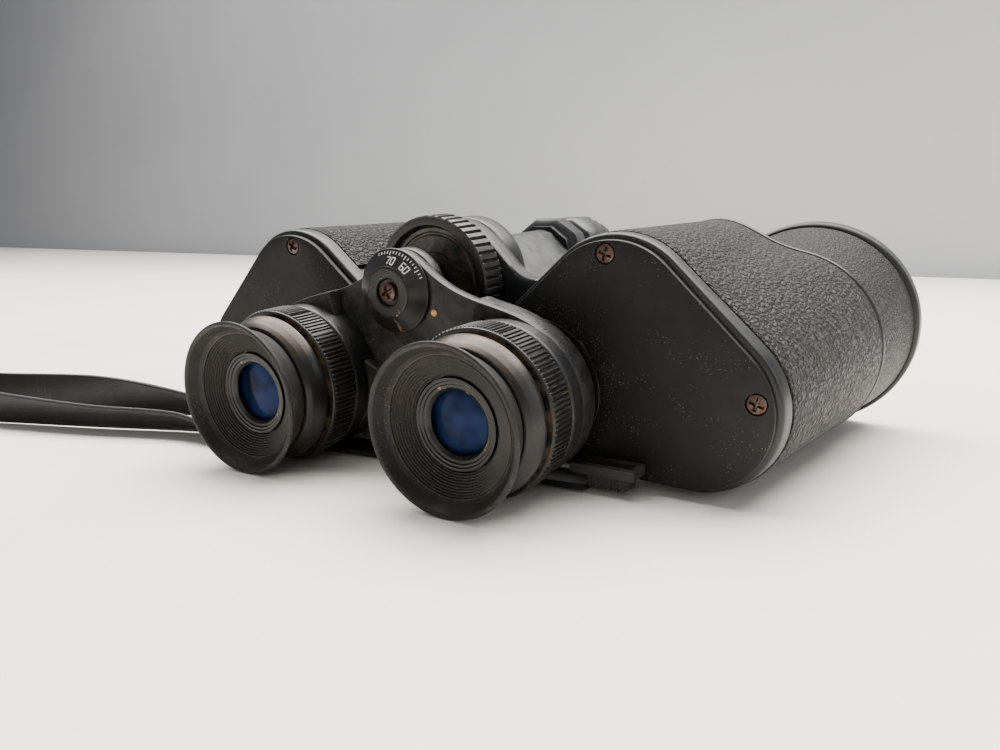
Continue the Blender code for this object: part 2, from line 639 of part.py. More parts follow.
def build():
    frame = empty("binoculars_rest", (0.0, REST_SHIFT_Y, 0.0))
    frame.rotation_euler = (TILT, 0.0, 0.0)
    lowest = Matrix.Rotation(TILT, 3, "X") @ Vector((0.0, EYECUP_END, OCULAR[1] - EYECUP_RADIUS))
    frame.location.z = -lowest.z
    bodies = {"right": empty("right_half", (0, 0, 0), frame), "left": empty("left_half", (0, 0, 0), frame)}
    wheel_pivot = empty("focus_wheel_pivot", (0, 0, 0), frame)
    for half, body in bodies.items():
        prism_housing(half, body)
        covering(half, body)
        rear_cover(half, body)
        front_cover(half, body)
        plate_screws(half, body)
        prisms(half, body)
        objective(half, body)
        guide_tube(half, body)
    bridges = {half: empty(f"{half}_bridge", (0, 0, 0), body) for half, body in bodies.items()}
    for half, bridge in bridges.items():
        bridge_arm(half, bridge)
        eyepiece_tube(half, bridge)
        carrier = empty(f"{half}_ocular_carrier", (0, 0, 0), bridge)
        ocular(half, carrier)
        knurled_ring(half, bridge)
    focusing(wheel_pivot, bridges["left"], bridges["right"])
    hinge_parts(bodies["right"])
    for half, body in bodies.items():
        strap_lug(half, body)
    strap_run("strap_left_run", LEFT_ROUTE)
    strap_run("strap_right_run", RIGHT_ROUTE)
    strap_roll()


build()
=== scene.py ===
"""Looks of the centre-focus Porro prism binoculars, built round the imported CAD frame."""
import json
import math

import bmesh
import bpy
from mathutils import Matrix, Vector


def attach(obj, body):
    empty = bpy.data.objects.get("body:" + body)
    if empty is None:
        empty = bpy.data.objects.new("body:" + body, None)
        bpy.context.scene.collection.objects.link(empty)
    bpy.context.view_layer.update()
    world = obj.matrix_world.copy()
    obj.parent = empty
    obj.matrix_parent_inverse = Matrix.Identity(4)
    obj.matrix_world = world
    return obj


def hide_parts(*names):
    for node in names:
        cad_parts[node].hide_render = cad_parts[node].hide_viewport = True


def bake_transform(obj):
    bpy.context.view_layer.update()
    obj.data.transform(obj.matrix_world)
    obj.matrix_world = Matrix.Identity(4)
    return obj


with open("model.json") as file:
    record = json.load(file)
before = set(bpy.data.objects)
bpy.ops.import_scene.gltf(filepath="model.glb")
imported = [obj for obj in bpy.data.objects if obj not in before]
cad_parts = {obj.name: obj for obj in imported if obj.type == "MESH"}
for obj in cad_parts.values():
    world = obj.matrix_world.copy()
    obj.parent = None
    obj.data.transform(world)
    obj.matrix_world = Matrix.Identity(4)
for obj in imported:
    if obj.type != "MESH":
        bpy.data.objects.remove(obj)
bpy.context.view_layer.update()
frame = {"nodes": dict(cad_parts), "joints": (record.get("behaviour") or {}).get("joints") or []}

MM = 0.001
JOINTS = {joint["name"]: joint for joint in frame["joints"]}

# The binoculars' own frame: hinge axis along Y, eyepieces at -Y, right half at +X.  The record holds its pose.
HINGE = JOINTS["hinge_fold"]
TILT = math.atan2(HINGE["axis"][2], HINGE["axis"][1])
REST = Matrix.Translation(Vector(HINGE["pos_m"])) @ Matrix.Rotation(TILT, 4, "X")

OCULAR = (29.0, -22.8)
CORNER = (47.5, -6.4)
OBJECTIVE = (65.5, -24.4)
REAR_LOBE = 17.7
FRONT_LOBE = 15.2
FRONT_BARREL = 25.2
HOUSING_Y = (2.1, 69.9)
SECTION_CENTRE = (51.0, -19.0)
REAR_LUG = 14.8
TUBE_RADIUS = 8.3
NECK_RADIUS = 9.4
HOLDER_RADIUS = 16.6
ARM_BLEND = 18.0
PLATE_SCREWS = [(46.2, 8.0), (79.1, -21.3)]
WIDE_STEPS = 128
SIDES = {"right": 1, "left": -1}


# ---------------------------------------------------------------- node helpers

class Nodes:
    """Short form for building one material."""

    def __init__(self, name):
        self.material = bpy.data.materials.new(name)
        self.material.use_nodes = True
        self.tree = self.material.node_tree
        self.shader = self.tree.nodes["Principled BSDF"]
        self.place = self.add("ShaderNodeTexCoord").outputs["Object"]

    def add(self, kind, **settings):
        node = self.tree.nodes.new(kind)
        for key, value in settings.items():
            setattr(node, key, value)
        return node

    def join(self, source, target):
        self.tree.links.new(source, target)

    def set(self, **values):
        for key, value in values.items():
            self.shader.inputs[key.replace("_", " ")].default_value = value

    def mapped(self, scale):
        node = self.add("ShaderNodeMapping")
        node.inputs["Scale"].default_value = scale
        self.join(self.place, node.inputs["Vector"])
        return node.outputs["Vector"]

    def noise(self, scale, detail=4.0, rough=0.55, vector=None, distortion=0.0):
        node = self.add("ShaderNodeTexNoise")
        node.inputs["Scale"].default_value = scale
        node.inputs["Detail"].default_value = detail
        node.inputs["Roughness"].default_value = rough
        node.inputs["Distortion"].default_value = distortion
        self.join(vector or self.place, node.inputs["Vector"])
        return node.outputs["Fac"]

    def cells(self, scale, vector=None, feature="F1", random=1.0):
        node = self.add("ShaderNodeTexVoronoi", feature=feature)
        node.inputs["Scale"].default_value = scale
        node.inputs["Randomness"].default_value = random
        self.join(vector or self.place, node.inputs["Vector"])
        return node.outputs["Distance"]

    def ramp(self, value, stops):
        node = self.add("ShaderNodeValToRGB")
        ramp = node.color_ramp
        while len(ramp.elements) < len(stops):
            ramp.elements.new(0.5)
        for element, (place, colour) in zip(ramp.elements, stops):
            element.position = place
            shade = colour if isinstance(colour, tuple) else (colour, colour, colour)
            element.color = (*shade, 1.0)
        self.join(value, node.inputs["Fac"])
        return node.outputs["Color"]

    def math(self, operation, a, b=None):
        node = self.add("ShaderNodeMath", operation=operation)
        for socket, value in zip(node.inputs, (a, b)):
            if value is None:
                continue
            if isinstance(value, (int, float)):
                socket.default_value = value
            else:
                self.join(value, socket)
        return node.outputs["Value"]

    def mix(self, share, a, b):
        node = self.add("ShaderNodeMix", data_type="RGBA")
        for socket, value in ((node.inputs[0], share), (node.inputs[6], a), (node.inputs[7], b)):
            if isinstance(value, tuple):
                socket.default_value = (*value, 1.0)
            elif isinstance(value, (int, float)):
                socket.default_value = value
            else:
                self.join(value, socket)
        return node.outputs[2]

    def bump(self, height, distance, strength=1.0, onto=None):
        node = self.add("ShaderNodeBump")
        node.inputs["Strength"].default_value = strength
        node.inputs["Distance"].default_value = distance
        self.join(height, node.inputs["Height"])
        if onto is not None:
            self.join(onto, node.inputs["Normal"])
        self.join(node.outputs["Normal"], self.shader.inputs["Normal"])
        return node.outputs["Normal"]

    def upward(self, low, high):
        """Share that rises where the surface faces up."""
        split = self.add("ShaderNodeSeparateXYZ")
        geometry = self.add("ShaderNodeNewGeometry")
        self.join(geometry.outputs["Normal"], split.inputs["Vector"])
        return self.ramp(split.outputs["Z"], [(low, 0.0), (high, 1.0)])

    def edges(self, low, high):
        """Share that rises on convex edges: worn edges, and the painted highlight on the eyecup lip."""
        geometry = self.add("ShaderNodeNewGeometry")
        return self.ramp(geometry.outputs["Pointiness"], [(low, 0.0), (high, 1.0)])

    def colour(self, value):
        self.join(value, self.shader.inputs["Base Color"])

    def rough(self, value):
        self.join(value, self.shader.inputs["Roughness"])


DUST = (0.19, 0.15, 0.105)


def dusty(n, base, amount=0.5, speck_scale=900.0, crevice=0.6):
    """Base colour with a faint grey film, brown specks, and dirt gathered in the corners."""
    film = n.ramp(n.noise(60.0, 6.0, 0.65), [(0.45, 0.0), (0.80, 1.0)])
    specks = n.ramp(n.cells(speck_scale), [(0.13, 1.0), (0.20, 0.0)])
    patches = n.ramp(n.noise(110.0, 3.0, 0.6), [(0.48, 0.0), (0.64, 1.0)])
    geometry = n.add("ShaderNodeNewGeometry")
    corner = n.ramp(geometry.outputs["Pointiness"], [(0.44, 1.0), (0.492, 0.0)])
    dirt = n.math("MULTIPLY", corner, n.ramp(n.noise(700.0, 5.0, 0.7), [(0.40, 0.0), (0.62, 1.0)]))
    marks = n.math("MULTIPLY", n.math("MULTIPLY", specks, patches), amount)
    filmed = n.mix(n.math("MULTIPLY", film, 0.05 * amount), base, (0.14, 0.135, 0.13))
    dirty = n.mix(n.math("MULTIPLY", dirt, crevice), filmed, tuple(0.55 * c for c in DUST))
    return n.mix(marks, dirty, DUST)


def round_ocular(n, near, far):
    """Share that falls from 1 to 0 between two distances from either eyepiece axis, in metres."""
    axis = REST.to_3x3() @ Vector((0.0, 1.0, 0.0))
    centre = REST @ Vector((OCULAR[0] * MM, 0.0, OCULAR[1] * MM))
    absolute = n.add("ShaderNodeVectorMath", operation="ABSOLUTE")
    n.join(n.place, absolute.inputs[0])
    split = n.add("ShaderNodeSeparateXYZ")
    n.join(n.place, split.inputs["Vector"])
    folded_split = n.add("ShaderNodeSeparateXYZ")
    n.join(absolute.outputs["Vector"], folded_split.inputs["Vector"])
    folded = n.add("ShaderNodeCombineXYZ")
    n.join(folded_split.outputs["X"], folded.inputs["X"])
    n.join(split.outputs["Y"], folded.inputs["Y"])
    n.join(split.outputs["Z"], folded.inputs["Z"])
    shift = n.add("ShaderNodeVectorMath", operation="SUBTRACT")
    n.join(folded.outputs["Vector"], shift.inputs[0])
    shift.inputs[1].default_value = centre
    cross = n.add("ShaderNodeVectorMath", operation="CROSS_PRODUCT")
    n.join(shift.outputs["Vector"], cross.inputs[0])
    cross.inputs[1].default_value = axis
    length = n.add("ShaderNodeVectorMath", operation="LENGTH")
    n.join(cross.outputs["Vector"], length.inputs[0])
    spread = n.add("ShaderNodeMapRange")
    n.join(length.outputs["Value"], spread.inputs["Value"])
    spread.inputs["From Min"].default_value = near
    spread.inputs["From Max"].default_value = far
    spread.inputs["To Min"].default_value = 1.0
    spread.inputs["To Max"].default_value = 0.0
    return spread.outputs["Result"]


def body_paint():
    n = Nodes("satin_black_paint")
    base = dusty(n, (0.0070, 0.0074, 0.0082), 0.3)
    worn = n.math("MULTIPLY", n.edges(0.54, 0.62), n.ramp(n.noise(300.0, 4.0), [(0.40, 0.0), (0.62, 1.0)]))
    n.colour(n.mix(n.math("MULTIPLY", worn, 0.25), base, (0.13, 0.135, 0.14)))
    n.rough(n.ramp(n.noise(240.0, 4.0), [(0.3, 0.36), (0.7, 0.42)]))
    n.set(Specular_IOR_Level=0.40)
    n.bump(n.noise(2600.0, 3.0), 0.00004, 0.5)
    return n.material


def arm_paint():
    n = Nodes("arm_black_paint")
    base = dusty(n, (0.0070, 0.0072, 0.0076), 1.0, 1500.0, 1.0)
    worn = n.math("MULTIPLY", n.edges(0.53, 0.60), n.ramp(n.noise(330.0, 4.0), [(0.42, 0.0), (0.60, 1.0)]))
    n.colour(n.mix(n.math("MULTIPLY", worn, 0.6), base, (0.14, 0.13, 0.12)))
    n.rough(n.ramp(n.noise(300.0, 4.0), [(0.3, 0.34), (0.7, 0.50)]))
    n.set(Specular_IOR_Level=0.34)
    n.bump(n.noise(3000.0, 4.0), 0.00006, 0.8)
    return n.material


def plate_paint():
    """Fine-grained black with brown dust gathered round the eyepiece seat."""
    n = Nodes("matte_black_plate")
    base = dusty(n, (0.0052, 0.0052, 0.0054), 0.55, 1300.0, 0.4)
    near = round_ocular(n, 0.0155, 0.0275)
    grit = n.ramp(n.cells(1900.0), [(0.16, 1.0), (0.26, 0.0)])
    cover = n.ramp(n.math("MULTIPLY", near, n.noise(420.0, 5.0, 0.7)), [(0.22, 0.0), (0.60, 1.0)])
    dust = n.math("MULTIPLY", n.math("MULTIPLY", grit, cover), 0.75)
    n.colour(n.mix(dust, base, DUST))
    n.rough(n.ramp(n.noise(150.0, 5.0, 0.6), [(0.3, 0.42), (0.7, 0.56)]))
    n.set(Specular_IOR_Level=0.22)
    n.bump(n.noise(3600.0, 3.0), 0.00005, 0.8)
    return n.material


def wheel_metal():
    """Black wheel: brass shows on some ribs' edges and grey-brown dirt lies in the recess."""
    n = Nodes("knurled_black_brass")
    base = dusty(n, (0.0075, 0.0075, 0.0080), 0.6, 1500.0, 0.5)
    brass = n.math("MULTIPLY", n.edges(0.535, 0.60), n.ramp(n.noise(85.0, 3.0, 0.6), [(0.54, 0.0), (0.66, 1.0)]))
    worn = n.mix(brass, base, (0.36, 0.21, 0.10))
    deep = n.ramp(n.noise(520.0, 5.0, 0.7), [(0.44, 0.0), (0.66, 1.0)])
    recess = recess_share(n)
    n.colour(n.mix(n.math("MULTIPLY", n.math("MULTIPLY", deep, recess), 0.55), worn, (0.085, 0.07, 0.052)))
    n.rough(n.ramp(n.noise(420.0, 3.0), [(0.3, 0.30), (0.7, 0.46)]))
    n.set(Metallic=0.15)
    return n.material


def recess_share(n):
    """1 inside the wheel's recess, 0 on its rim, by distance from the hinge axis."""
    axis = REST.to_3x3() @ Vector((0.0, 1.0, 0.0))
    shift = n.add("ShaderNodeVectorMath", operation="SUBTRACT")
    n.join(n.place, shift.inputs[0])
    shift.inputs[1].default_value = REST.translation
    cross = n.add("ShaderNodeVectorMath", operation="CROSS_PRODUCT")
    n.join(shift.outputs["Vector"], cross.inputs[0])
    cross.inputs[1].default_value = axis
    length = n.add("ShaderNodeVectorMath", operation="LENGTH")
    n.join(cross.outputs["Vector"], length.inputs[0])
    spread = n.add("ShaderNodeMapRange")
    n.join(length.outputs["Value"], spread.inputs["Value"])
    spread.inputs["From Min"].default_value = 0.0130
    spread.inputs["From Max"].default_value = 0.0137
    spread.inputs["To Min"].default_value = 1.0
    spread.inputs["To Max"].default_value = 0.0
    return spread.outputs["Result"]


def leatherette(name, scale, depth, tone):
    """Crinkled vinyl grain: stretched cells with a finer grain on top, and painted shade darkening the creases
    between the pebbles.
    """
    n = Nodes(name)
    wobble = n.add("ShaderNodeTexNoise")
    wobble.inputs["Scale"].default_value = scale * 0.45
    wobble.inputs["Detail"].default_value = 2.0
    n.join(n.place, wobble.inputs["Vector"])
    offset = n.add("ShaderNodeVectorMath", operation="MULTIPLY_ADD")
    n.join(wobble.outputs["Color"], offset.inputs[0])
    offset.inputs[1].default_value = (1.6 / scale,) * 3
    n.join(n.mapped((1.0, 0.62, 1.0)), offset.inputs[2])
    pebble = n.cells(scale, offset.outputs["Vector"], "SMOOTH_F1")
    crease = n.cells(scale, offset.outputs["Vector"], "DISTANCE_TO_EDGE")
    swell = n.noise(scale * 0.9, 3.0, 0.6, offset.outputs["Vector"])
    grain = n.noise(scale * 4.0, 3.0)
    dome = n.math("SUBTRACT", n.ramp(crease, [(0.0, 0.0), (0.10, 0.45), (0.34, 1.0)]),
                  n.math("MULTIPLY", pebble, 0.9))
    height = n.math("ADD", n.math("ADD", dome, n.math("MULTIPLY", grain, 0.22)), n.math("MULTIPLY", swell, 1.1))
    # painted shade: along the creases between the pebbles the colour falls to a third of the tone
    low = n.ramp(crease, [(0.0, 0.0), (0.20, 1.0)])
    tint = n.mix(n.ramp(n.noise(70.0, 4.0), [(0.35, 0.0), (0.7, 1.0)]), tone, tuple(1.3 * c for c in tone))
    n.colour(n.mix(low, tuple(0.35 * c for c in tone), tint))
    n.rough(n.ramp(pebble, [(0.1, 0.38), (0.6, 0.56)]))
    n.set(Specular_IOR_Level=0.17)
    n.bump(height, depth, 1.0)
    return n.material


def anodised():
    n = Nodes("black_anodised")
    base = dusty(n, (0.0075, 0.0075, 0.0078), 0.5, 1400.0)
    worn = n.math("MULTIPLY", n.edges(0.55, 0.64), n.ramp(n.noise(260.0, 4.0), [(0.45, 0.0), (0.6, 1.0)]))
    n.colour(n.mix(worn, base, (0.30, 0.20, 0.11)))
    n.rough(n.ramp(n.noise(420.0, 3.0), [(0.3, 0.28), (0.7, 0.42)]))
    n.set(Metallic=0.1, Specular_IOR_Level=0.32)
    return n.material


def bronzed():
    """Black finish with warm brown patches on the faces that point up: rubbed wear, and a painted warm sheen where
    the light from above falls.
    """
    n = Nodes("bronze_wear_and_top_sheen")
    patch = n.ramp(n.noise(55.0, 3.0, 0.6), [(0.38, 0.0), (0.68, 1.0)])
    base = dusty(n, (0.0075, 0.0072, 0.0070), 0.4, 1300.0)
    # warm brown kept to the faces that point up: partly rubbed wear, partly painted sheen from the light above
    upper = n.upward(0.35, 0.95)
    n.colour(n.mix(n.math("MULTIPLY", n.math("MULTIPLY", patch, upper), 0.85), base, (0.12, 0.068, 0.032)))
    n.rough(n.ramp(n.noise(200.0, 4.0), [(0.3, 0.30), (0.7, 0.46)]))
    n.set(Metallic=0.1, Specular_IOR_Level=0.35)
    return n.material


def rubber():
    n = Nodes("eyecup_rubber")
    base = dusty(n, (0.0085, 0.0083, 0.0082), 0.9, 1700.0, 1.0)
    # painted highlight: convex edges, the eyecup's rounded lip above all, are lightened to grey
    lip = n.ramp(n.edges(0.52, 0.60), [(0.0, 0.0), (1.0, 1.0)])
    smear = n.ramp(n.noise(90.0, 5.0, 0.65), [(0.4, 0.0), (0.75, 1.0)])
    greyed = n.mix(n.math("MULTIPLY", smear, 0.22), base, (0.055, 0.048, 0.042))
    n.colour(n.mix(n.math("MULTIPLY", lip, 0.35), greyed, (0.07, 0.066, 0.062)))
    n.rough(n.ramp(n.noise(300.0, 4.0), [(0.3, 0.46), (0.7, 0.64)]))
    n.set(Specular_IOR_Level=0.30)
    n.bump(n.noise(2400.0, 4.0), 0.00005, 0.7)
    return n.material


def rusty_steel():
    n = Nodes("tarnished_screw")
    rust = n.ramp(n.noise(900.0, 4.0, 0.7), [(0.4, 0.0), (0.6, 1.0)])
    n.colour(n.mix(rust, (0.085, 0.07, 0.062), (0.085, 0.036, 0.02)))
    n.rough(n.ramp(rust, [(0.0, 0.34), (1.0, 0.62)]))
    n.set(Metallic=0.75)
    n.bump(n.noise(2500.0, 4.0), 0.00006, 0.8)
    return n.material


def coated_lens():
    """Dark glass whose blue coating is painted into the colour, with painted reflection: brighter blue patches
    where the sky's reflection falls.
    """
    n = Nodes("blue_coated_lens")
    # painted reflection: the coating's blue and its brighter patches are put into the colour
    reflection_patches = n.noise(110.0, 2.0, 0.5)
    tint = n.ramp(reflection_patches, [(0.34, (0.002, 0.004, 0.012)), (0.5, (0.004, 0.009, 0.032)),
                          (0.66, (0.012, 0.024, 0.075))])
    n.colour(tint)
    n.set(Roughness=0.12, Metallic=0.0, Specular_IOR_Level=0.04, Coat_Weight=0.0)
    n.bump(n.noise(900.0, 3.0), 0.00001, 0.25)
    return n.material


def front_lens():
    n = Nodes("amber_coated_lens")
    n.set(Roughness=0.06, Metallic=0.0, Specular_IOR_Level=0.22, Coat_Weight=0.10, Coat_Roughness=0.03)
    tint = n.ramp(n.noise(30.0, 2.0), [(0.35, (0.012, 0.012, 0.03)), (0.65, (0.06, 0.035, 0.09))])
    n.colour(tint)
    return n.material


def prism_glass():
    n = Nodes("prism_glass_clear")
    n.set(Roughness=0.02, Transmission_Weight=0.9, IOR=1.57)
    n.colour(n.ramp(n.noise(20.0), [(0.0, (0.85, 0.92, 0.95)), (1.0, (0.95, 0.98, 1.0))]))
    return n.material


def white_paint():
    n = Nodes("engraved_white")
    n.colour(n.ramp(n.noise(800.0), [(0.3, (0.42, 0.41, 0.38)), (0.7, (0.66, 0.65, 0.62))]))
    n.set(Roughness=0.6)
    return n.material


def orange_paint():
    n = Nodes("index_orange")
    n.colour(n.ramp(n.noise(900.0), [(0.3, (0.50, 0.20, 0.05)), (0.7, (0.78, 0.42, 0.16))]))
    n.set(Roughness=0.5)
    return n.material


def vinyl():
    n = Nodes("strap_vinyl_black")
    base = dusty(n, (0.0095, 0.0097, 0.0104), 0.25, 700.0, 0.2)
    crease = n.noise(90.0, 5.0, 0.6, n.mapped((1.0, 1.0, 3.0)))
    n.colour(n.mix(n.math("MULTIPLY", crease, 0.25), base, (0.05, 0.05, 0.052)))
    n.rough(n.ramp(n.noise(130.0, 4.0), [(0.3, 0.44), (0.7, 0.58)]))
    n.set(Specular_IOR_Level=0.35)
    fine = n.cells(1500.0, None, "SMOOTH_F1")
    n.bump(n.math("ADD", fine, n.math("MULTIPLY", crease, 1.4)), 0.00009, 0.7)
    return n.material


def table_top():
    n = Nodes("pale_table")
    stain = n.ramp(n.noise(5.0, 6.0, 0.6), [(0.35, 0.0), (0.7, 1.0)])
    n.colour(n.mix(stain, (0.92, 0.865, 0.79), (0.95, 0.905, 0.835)))
    n.rough(n.ramp(n.noise(12.0, 5.0), [(0.3, 0.42), (0.7, 0.56)]))
    scratch = n.noise(40.0, 4.0, 0.6, n.mapped((1.0, 9.0, 1.0)))
    n.bump(scratch, 0.0002, 0.25)
    return n.material


def backdrop():
    n = Nodes("grey_backdrop")
    n.colour(n.ramp(n.noise(2.0, 3.0), [(0.3, (0.30, 0.30, 0.303)), (0.7, (0.33, 0.33, 0.333))]))
    n.set(Roughness=0.9)
    return n.material


LOOKS = {
    "body": body_paint(),
    "arm": arm_paint(),
    "wheel": wheel_metal(),
    "plate": plate_paint(),
    "leatherette": leatherette("housing_leatherette", 820.0, 0.00042, (0.0165, 0.0168, 0.0176)),
    "barrel_leatherette": leatherette("barrel_leatherette", 1150.0, 0.00026, (0.0195, 0.0198, 0.0206)),
    "anodised": anodised(),
    "bronzed": bronzed(),
    "rubber": rubber(),
    "steel": rusty_steel(),
    "lens": coated_lens(),
    "front_lens": front_lens(),
    "prism": prism_glass(),
    "white": white_paint(),
    "dot": orange_paint(),
    "vinyl": vinyl(),
}


# ---------------------------------------------------------------- shape helpers

def piece(name, bm, look, body, replaces=(), sharp=32.0, in_rest_frame=False):
    """Finished object from a bmesh drawn in millimetres."""
    bmesh.ops.recalc_face_normals(bm, faces=bm.faces)
    mesh = bpy.data.meshes.new(name)
    bm.to_mesh(mesh)
    bm.free()
    scale = Matrix.Diagonal((MM, MM, MM, 1.0))
    mesh.transform(scale if in_rest_frame else REST @ scale)
    for polygon in mesh.polygons:
        polygon.use_smooth = True
    mesh.set_sharp_from_angle(angle=math.radians(sharp))
    mesh.materials.append(LOOKS[look])
    made = bpy.data.objects.new(name, mesh)
    bpy.context.scene.collection.objects.link(made)
    if body:
        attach(made, body)
    if replaces:
        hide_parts(*replaces)
    return made


def rounded(points, radius=0.25, steps=3, closed=True):
    """Corners of an outline replaced by short arcs."""
    count = len(points)
    made = []
    for i, corner in enumerate(points):
        before = Vector(points[i - 1])
        after = Vector(points[(i + 1) % count])
        here = Vector(corner)
        ends = not closed and i in (0, count - 1)
        reach = min(radius, 0.45 * (before - here).length, 0.45 * (after - here).length)
        if ends or reach < 0.02:
            made.append(tuple(here))
            continue
        start = here + (before - here).normalized() * reach
        end = here + (after - here).normalized() * reach
        for k in range(steps + 1):
            t = k / steps
            made.append(tuple(start * (1 - t) ** 2 + here * 2 * t * (1 - t) + end * t * t))
    return made


def lathe_mesh(profile, at=(0.0, 0.0), steps=WIDE_STEPS, closed=True, relief=None):
    """bmesh turned round an axis along Y; relief(angle, radius, y) may change the radius."""
    bm = bmesh.new()
    rows = []
    for radius, y in profile:
        if radius < 1e-6:
            rows.append([bm.verts.new((at[0], y, at[1]))])
            continue
        row = []
        for k in range(steps):
            angle = 2 * math.pi * k / steps
            reach = relief(angle, radius, y) if relief else radius
            row.append(bm.verts.new((at[0] + reach * math.cos(angle), y, at[1] + reach * math.sin(angle))))
        rows.append(row)
    pairs = list(zip(rows, rows[1:]))
    if closed:
        pairs.append((rows[-1], rows[0]))
    for near, far in pairs:
        if len(near) == 1 and len(far) == 1:
            continue
        for k in range(steps):
            j = (k + 1) % steps
            if len(near) == 1:
                bm.faces.new((near[0], far[j], far[k]))
            elif len(far) == 1:
                bm.faces.new((near[k], near[j], far[0]))
            else:
                bm.faces.new((near[k], near[j], far[j], far[k]))
    return bm


def turned(name, profile, look, body, at=(0.0, 0.0), nodes=(), soft=0.25, closed=True, steps=WIDE_STEPS,
           relief=None, sharp=32.0):
    if soft:
        profile = rounded(profile, soft, 3, closed)
    return piece(name, lathe_mesh(profile, at, steps, closed, relief), look, body, nodes, sharp)


def offset_outline(outline, distance):
    """Closed outline moved outwards by a distance along its own normals."""
    count = len(outline)
    area = sum(outline[i - 1][0] * outline[i][1] - outline[i][0] * outline[i - 1][1] for i in range(count))
    way = 1 if area > 0 else -1
    made = []
    for i in range(count):
        ax, az = outline[i - 1]
        bx, bz = outline[(i + 1) % count]
        length = math.hypot(bx - ax, bz - az) or 1.0
        nx, nz = way * (bz - az) / length, -way * (bx - ax) / length
        made.append((outline[i][0] + nx * distance, outline[i][1] + nz * distance))
    return made


def plate_mesh(outline, span, bevel=0.35, holes=()):
    """Plate with softened edges drawn out along Y; each hole is (centre, radius)."""
    rear, front = span
    rings = [(rear, -bevel), (rear + bevel * 0.3, -bevel * 0.3), (rear + bevel, 0.0)]
    rings += [(front - bevel, 0.0), (front - bevel * 0.3, -bevel * 0.3), (front, -bevel)]
    bm = bmesh.new()
    rows = []
    for y, inset in rings:
        points = offset_outline(outline, inset)
        rows.append([bm.verts.new((x, y, z)) for x, z in points])
    join_rows(bm, rows)
    hole_rows = []
    for centre, radius in holes:
        near = [bm.verts.new((x, rear, z)) for x, z in circle(centre, radius, 48)]
        far = [bm.verts.new((x, front, z)) for x, z in circle(centre, radius, 48)]
        join_rows(bm, [near, far])
        hole_rows.append((near, far))
    for side in (0, -1):
        edges = []
        for loop in [rows[side]] + [pair[side] for pair in hole_rows]:
            for k in range(len(loop)):
                edges.append(bm.edges.get((loop[k - 1], loop[k])))
        bmesh.ops.triangle_fill(bm, use_beauty=True, use_dissolve=False, edges=edges)
    return bm


def join_rows(bm, rows):
    for near, far in zip(rows, rows[1:]):
        for k in range(len(near)):
            j = (k + 1) % len(near)
            bm.faces.new((near[k], near[j], far[j], far[k]))


def circle(centre, radius, count):
    angles = [2 * math.pi * k / count for k in range(count)]
    return [(centre[0] + radius * math.cos(a), centre[1] + radius * math.sin(a)) for a in angles]


def mirrored(point, side):
    return (side * point[0], point[1])


def add_mesh(bm, other):
    """Adds one bmesh's faces to another."""
    mesh = bpy.data.meshes.new("joined")
    other.to_mesh(mesh)
    other.free()
    bm.from_mesh(mesh)
    bpy.data.meshes.remove(mesh)
    return bm


# ---------------------------------------------------------------- housing section, as in the CAD

def segment_distance(point, a, b):
    px, pz = point[0] - a[0], point[1] - a[1]
    bx, bz = b[0] - a[0], b[1] - a[1]
    along = max(0.0, min(1.0, (px * bx + pz * bz) / (bx * bx + bz * bz)))
    return math.hypot(px - along * bx, pz - along * bz)


def triangle_distance(point, corners):
    edges = list(zip(corners, corners[1:] + corners[:1]))
    nearest = min(segment_distance(point, a, b) for a, b in edges)
    turns = [(b[0] - a[0]) * (point[1] - a[1]) - (b[1] - a[1]) * (point[0] - a[0]) for a, b in edges]
    inside = all(turn <= 0 for turn in turns) or all(turn >= 0 for turn in turns)
    return -nearest if inside else nearest


def smooth_union(a, b, width):
    blend = max(width - abs(a - b), 0.0) / width
    return min(a, b) - blend * blend * width / 4


def rear_shape(point):
    return triangle_distance(point, [OCULAR, CORNER, OBJECTIVE]) - REAR_LOBE


def front_shape(point):
    lobes = segment_distance(point, OCULAR, CORNER) - FRONT_LOBE
    barrel = math.hypot(point[0] - OBJECTIVE[0], point[1] - OBJECTIVE[1]) - FRONT_BARREL
    return smooth_union(lobes, barrel, 9.0)


def housing_shape(point, y):
    share = max(0.0, min(1.0, (y - HOUSING_Y[0]) / (HOUSING_Y[1] - HOUSING_Y[0])))
    return rear_shape(point) * (1 - share) + front_shape(point) * share


def arm_shape(point):
    holder = math.hypot(point[0] - OCULAR[0], point[1] - OCULAR[1]) - HOLDER_RADIUS
    neck = segment_distance(point, (0.0, 0.0), OCULAR) - NECK_RADIUS
    return smooth_union(neck, holder, ARM_BLEND)


def outline_at(shape, offset, centre, count):
    points = []
    for i in range(count):
        angle = 2 * math.pi * i / count
        near, far = 0.0, 80.0
        for _ in range(26):
            middle = (near + far) / 2
            point = (centre[0] + middle * math.cos(angle), centre[1] + middle * math.sin(angle))
            if shape(point) < offset:
                near = middle
            else:
                far = middle
        points.append((centre[0] + near * math.cos(angle), centre[1] + near * math.sin(angle)))
    return points


def sided(outline, side):
    return [(side * x, z) for x, z in outline]


SECTION_COUNT = 176


def section(y, offset, side):
    outline = outline_at(lambda point: housing_shape(point, y), offset, SECTION_CENTRE, SECTION_COUNT)
    return [(side * x, y, z) for x, z in outline]


def loft(stations, side):
    bm = bmesh.new()
    rows = [[bm.verts.new(point) for point in section(y, offset, side)] for y, offset in stations]
    join_rows(bm, rows)
    bm.faces.new(rows[0])
    bm.faces.new(list(reversed(rows[-1])))
    return bm


# ---------------------------------------------------------------- camera, floor and light

